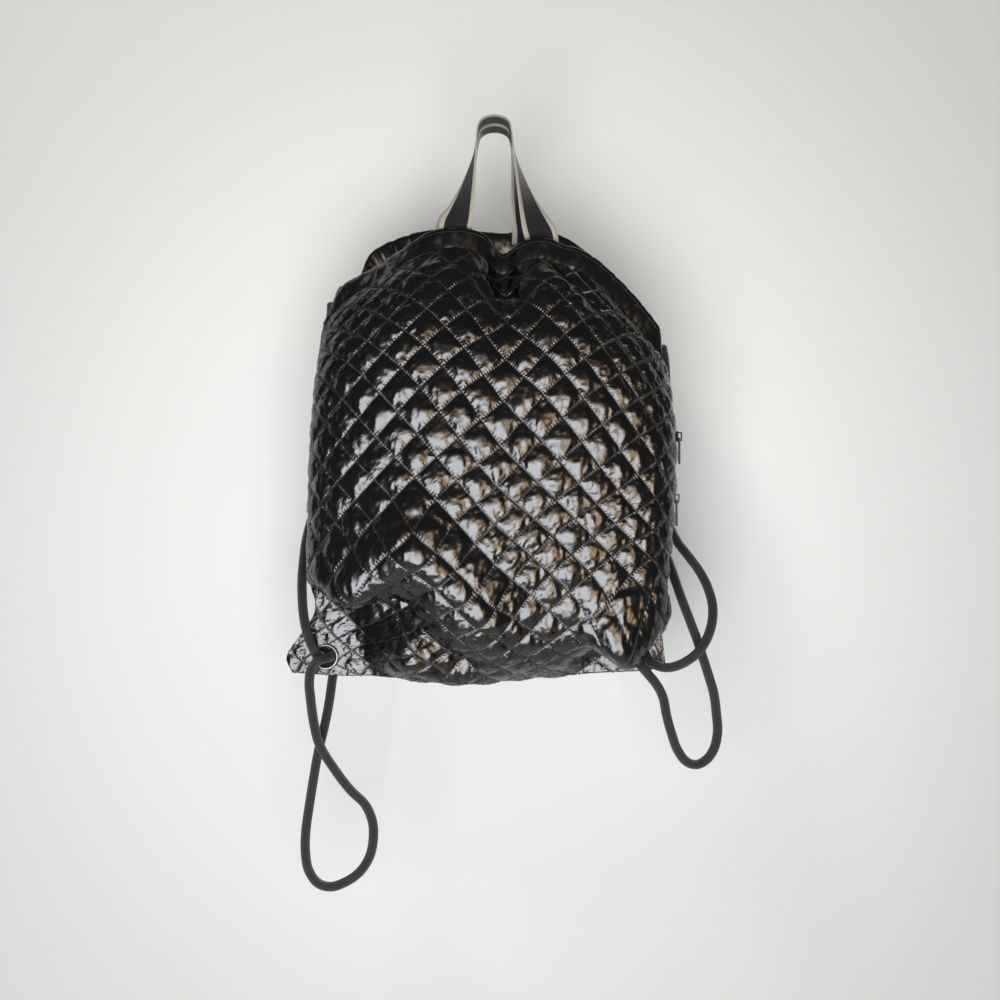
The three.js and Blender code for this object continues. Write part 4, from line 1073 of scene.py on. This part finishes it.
TAPE_THICK, TAPE_EDGE = 1 * MM, 0.8  # beside the coil, and how thick the edges are beside that
zip_v = np.linspace(ZIP["bottom"], ZIP["top"], 90)
zip_place, zip_out = side_seam(zip_v), seam_out(zip_v)
edge, coil = ZIP["tape"] / 2, ZIP["coil"] / 2
seat, edge_top, top = ZIP["seat"], ZIP["seat"] + TAPE_EDGE * TAPE_THICK, ZIP["seat"] + TAPE_THICK
tape_ring = [(-edge, seat), (edge, seat), (edge, edge_top), (coil, top), (-coil, top), (-edge, edge_top)]
tape_points = np.stack([zip_place + zip_out * y + np.array([0, x, 0]) for x, y in tape_ring], 1)
tape = add_mesh("side_zip_tape", tape_points, capped_faces(len(zip_v), len(tape_ring)))
dress(tape, zip_cloth, "zip_tape", "side_zip")
for name in ("upper_slider", "upper_pull", "lower_slider", "lower_pull"):
    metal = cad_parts[name]
    metal.data.materials.clear()
    metal.data.materials.append(lacquer)

# %% [markdown]
# ## What repeats
# Stitches and zip teeth are copies along a line. Geometry nodes place them, with the pitch and the thread
# as inputs.

# %% Copies along a line
BAR_SIDES = 5
SHORTEST = 4  # a stitch line of no more points than this, in a corner, is left out
# Pitch, length, width and height of a bar
TOPSTITCH_BARS = (3.4 * MM, 2.3 * MM, 0.7 * MM, 0.5 * MM)
STITCH_BARS = (STITCH, 1.9 * MM, 0.8 * MM, 0.6 * MM)
TEETH_BARS = (1.3 * MM, 0.75 * MM, 1.7 * MM, 2.4 * MM)
TEETH_APART = 2.2 * MM


def repeat_group():
    group = bpy.data.node_groups.new("copies along lines", "GeometryNodeTree")
    put = group.interface.new_socket
    put("Lines", in_out="INPUT", socket_type="NodeSocketGeometry")
    for label in ("Pitch", "Length", "Width", "Height"):
        put(label, in_out="INPUT", socket_type="NodeSocketFloat")
    put("Material", in_out="INPUT", socket_type="NodeSocketMaterial")
    put("Copies", in_out="OUTPUT", socket_type="NodeSocketGeometry")
    given = group.nodes.new("NodeGroupInput").outputs
    result = group.nodes.new("NodeGroupOutput").inputs
    curve = add_node(group, "GeometryNodeMeshToCurve", {0: given["Lines"]})
    spacing = {"Curve": curve.outputs[0], "Length": given["Pitch"]}
    even = add_node(group, "GeometryNodeResampleCurve", spacing, mode="LENGTH")
    unit_bar = {"Vertices": BAR_SIDES, "Side Segments": 1, "Radius": 0.5, "Depth": 1.0}
    bar = add_node(group, "GeometryNodeMeshCylinder", unit_bar)
    tangent = {"Vector": add_node(group, "GeometryNodeInputTangent").outputs[0]}
    turn = add_node(group, "FunctionNodeAlignRotationToVector", tangent, axis="Z")
    sizes = {0: given["Width"], 1: given["Height"], 2: given["Length"]}
    size = add_node(group, "ShaderNodeCombineXYZ", sizes)
    spread = add_node(group, "GeometryNodeInstanceOnPoints", {
        "Points": even.outputs[0], "Instance": bar.outputs["Mesh"], "Rotation": turn.outputs[0],
        "Scale": size.outputs[0],
    })
    real = add_node(group, "GeometryNodeRealizeInstances", {0: spread.outputs[0]})
    paint = {0: real.outputs[0], "Material": given["Material"]}
    painted = add_node(group, "GeometryNodeSetMaterial", paint)
    group.links.new(painted.outputs[0], result[0])
    return group


repeat = repeat_group()


def copies(name, lines, material, slot, pitch, length, width, height):
    """Bars along each line of points, as one mesh."""
    points = np.concatenate(lines)
    first = np.cumsum([0] + [len(line) for line in lines[:-1]])
    edges = [(k, k + 1) for start, line in zip(first, lines) for k in range(start, start + len(line) - 1)]
    mesh = bpy.data.meshes.new(name)
    mesh.from_pydata(points.tolist(), edges, [])
    source = add_object(name, mesh)
    modifier = source.modifiers.new("copies", "NODES")
    modifier.node_group = repeat
    sockets = {item.name: item.identifier for item in repeat.interface.items_tree if item.in_out == "INPUT"}
    for label, value in (("Pitch", pitch), ("Length", length), ("Width", width), ("Height", height),
                         ("Material", material)):
        modifier[sockets[label]] = value
    made = bpy.data.meshes.new_from_object(source.evaluated_get(bpy.context.evaluated_depsgraph_get()))
    source.modifiers.clear()
    source.data = made
    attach(source, BODY)
    print(name, len(made.polygons), "faces")


def clear_of_eyelets(line):
    """The parts of a stitch line that don't run across an eyelet."""
    clear = from_eyelet(line) > EYELET["bore"] / 2 + EYELET["flange"]
    cuts = np.flatnonzero(np.diff(clear)) + 1
    return [part for part, is_clear in zip(np.split(line, cuts), np.split(clear, cuts)) if is_clear.all()]


def stitch_lines(side):
    _, skin, outward = panels[side]
    height, width = skin.shape[:2]
    raised = skin + outward * THREAD_UP
    lines = []
    for first in range(SHIFT - FINE * (height // FINE), width + height, FINE):
        for step in (1, -1):
            line = [raised[j, first + step * j] for j in range(height) if 0 <= first + step * j < width]
            if len(line) > SHORTEST:
                lines += clear_of_eyelets(np.array(line))
    return [line for line in lines if len(line) > SHORTEST]


for name, side in (("front", -1), ("back", 1)):
    copies(f"{name}_topstitch", [topstitch_lines[side]], thread, "casing_nylon", *TOPSTITCH_BARS)
    copies(f"{name}_stitches", stitch_lines(side), thread, "quilted_nylon", *STITCH_BARS)

teeth_line = zip_place + zip_out * (top + ZIP["coil_height"] * 0.45)
teeth_lines = [teeth_line + np.array([0, x, 0]) for x in (-TEETH_APART / 2, TEETH_APART / 2)]
copies("side_zip_teeth", teeth_lines, zip_coil, "zip_tape", *TEETH_BARS)
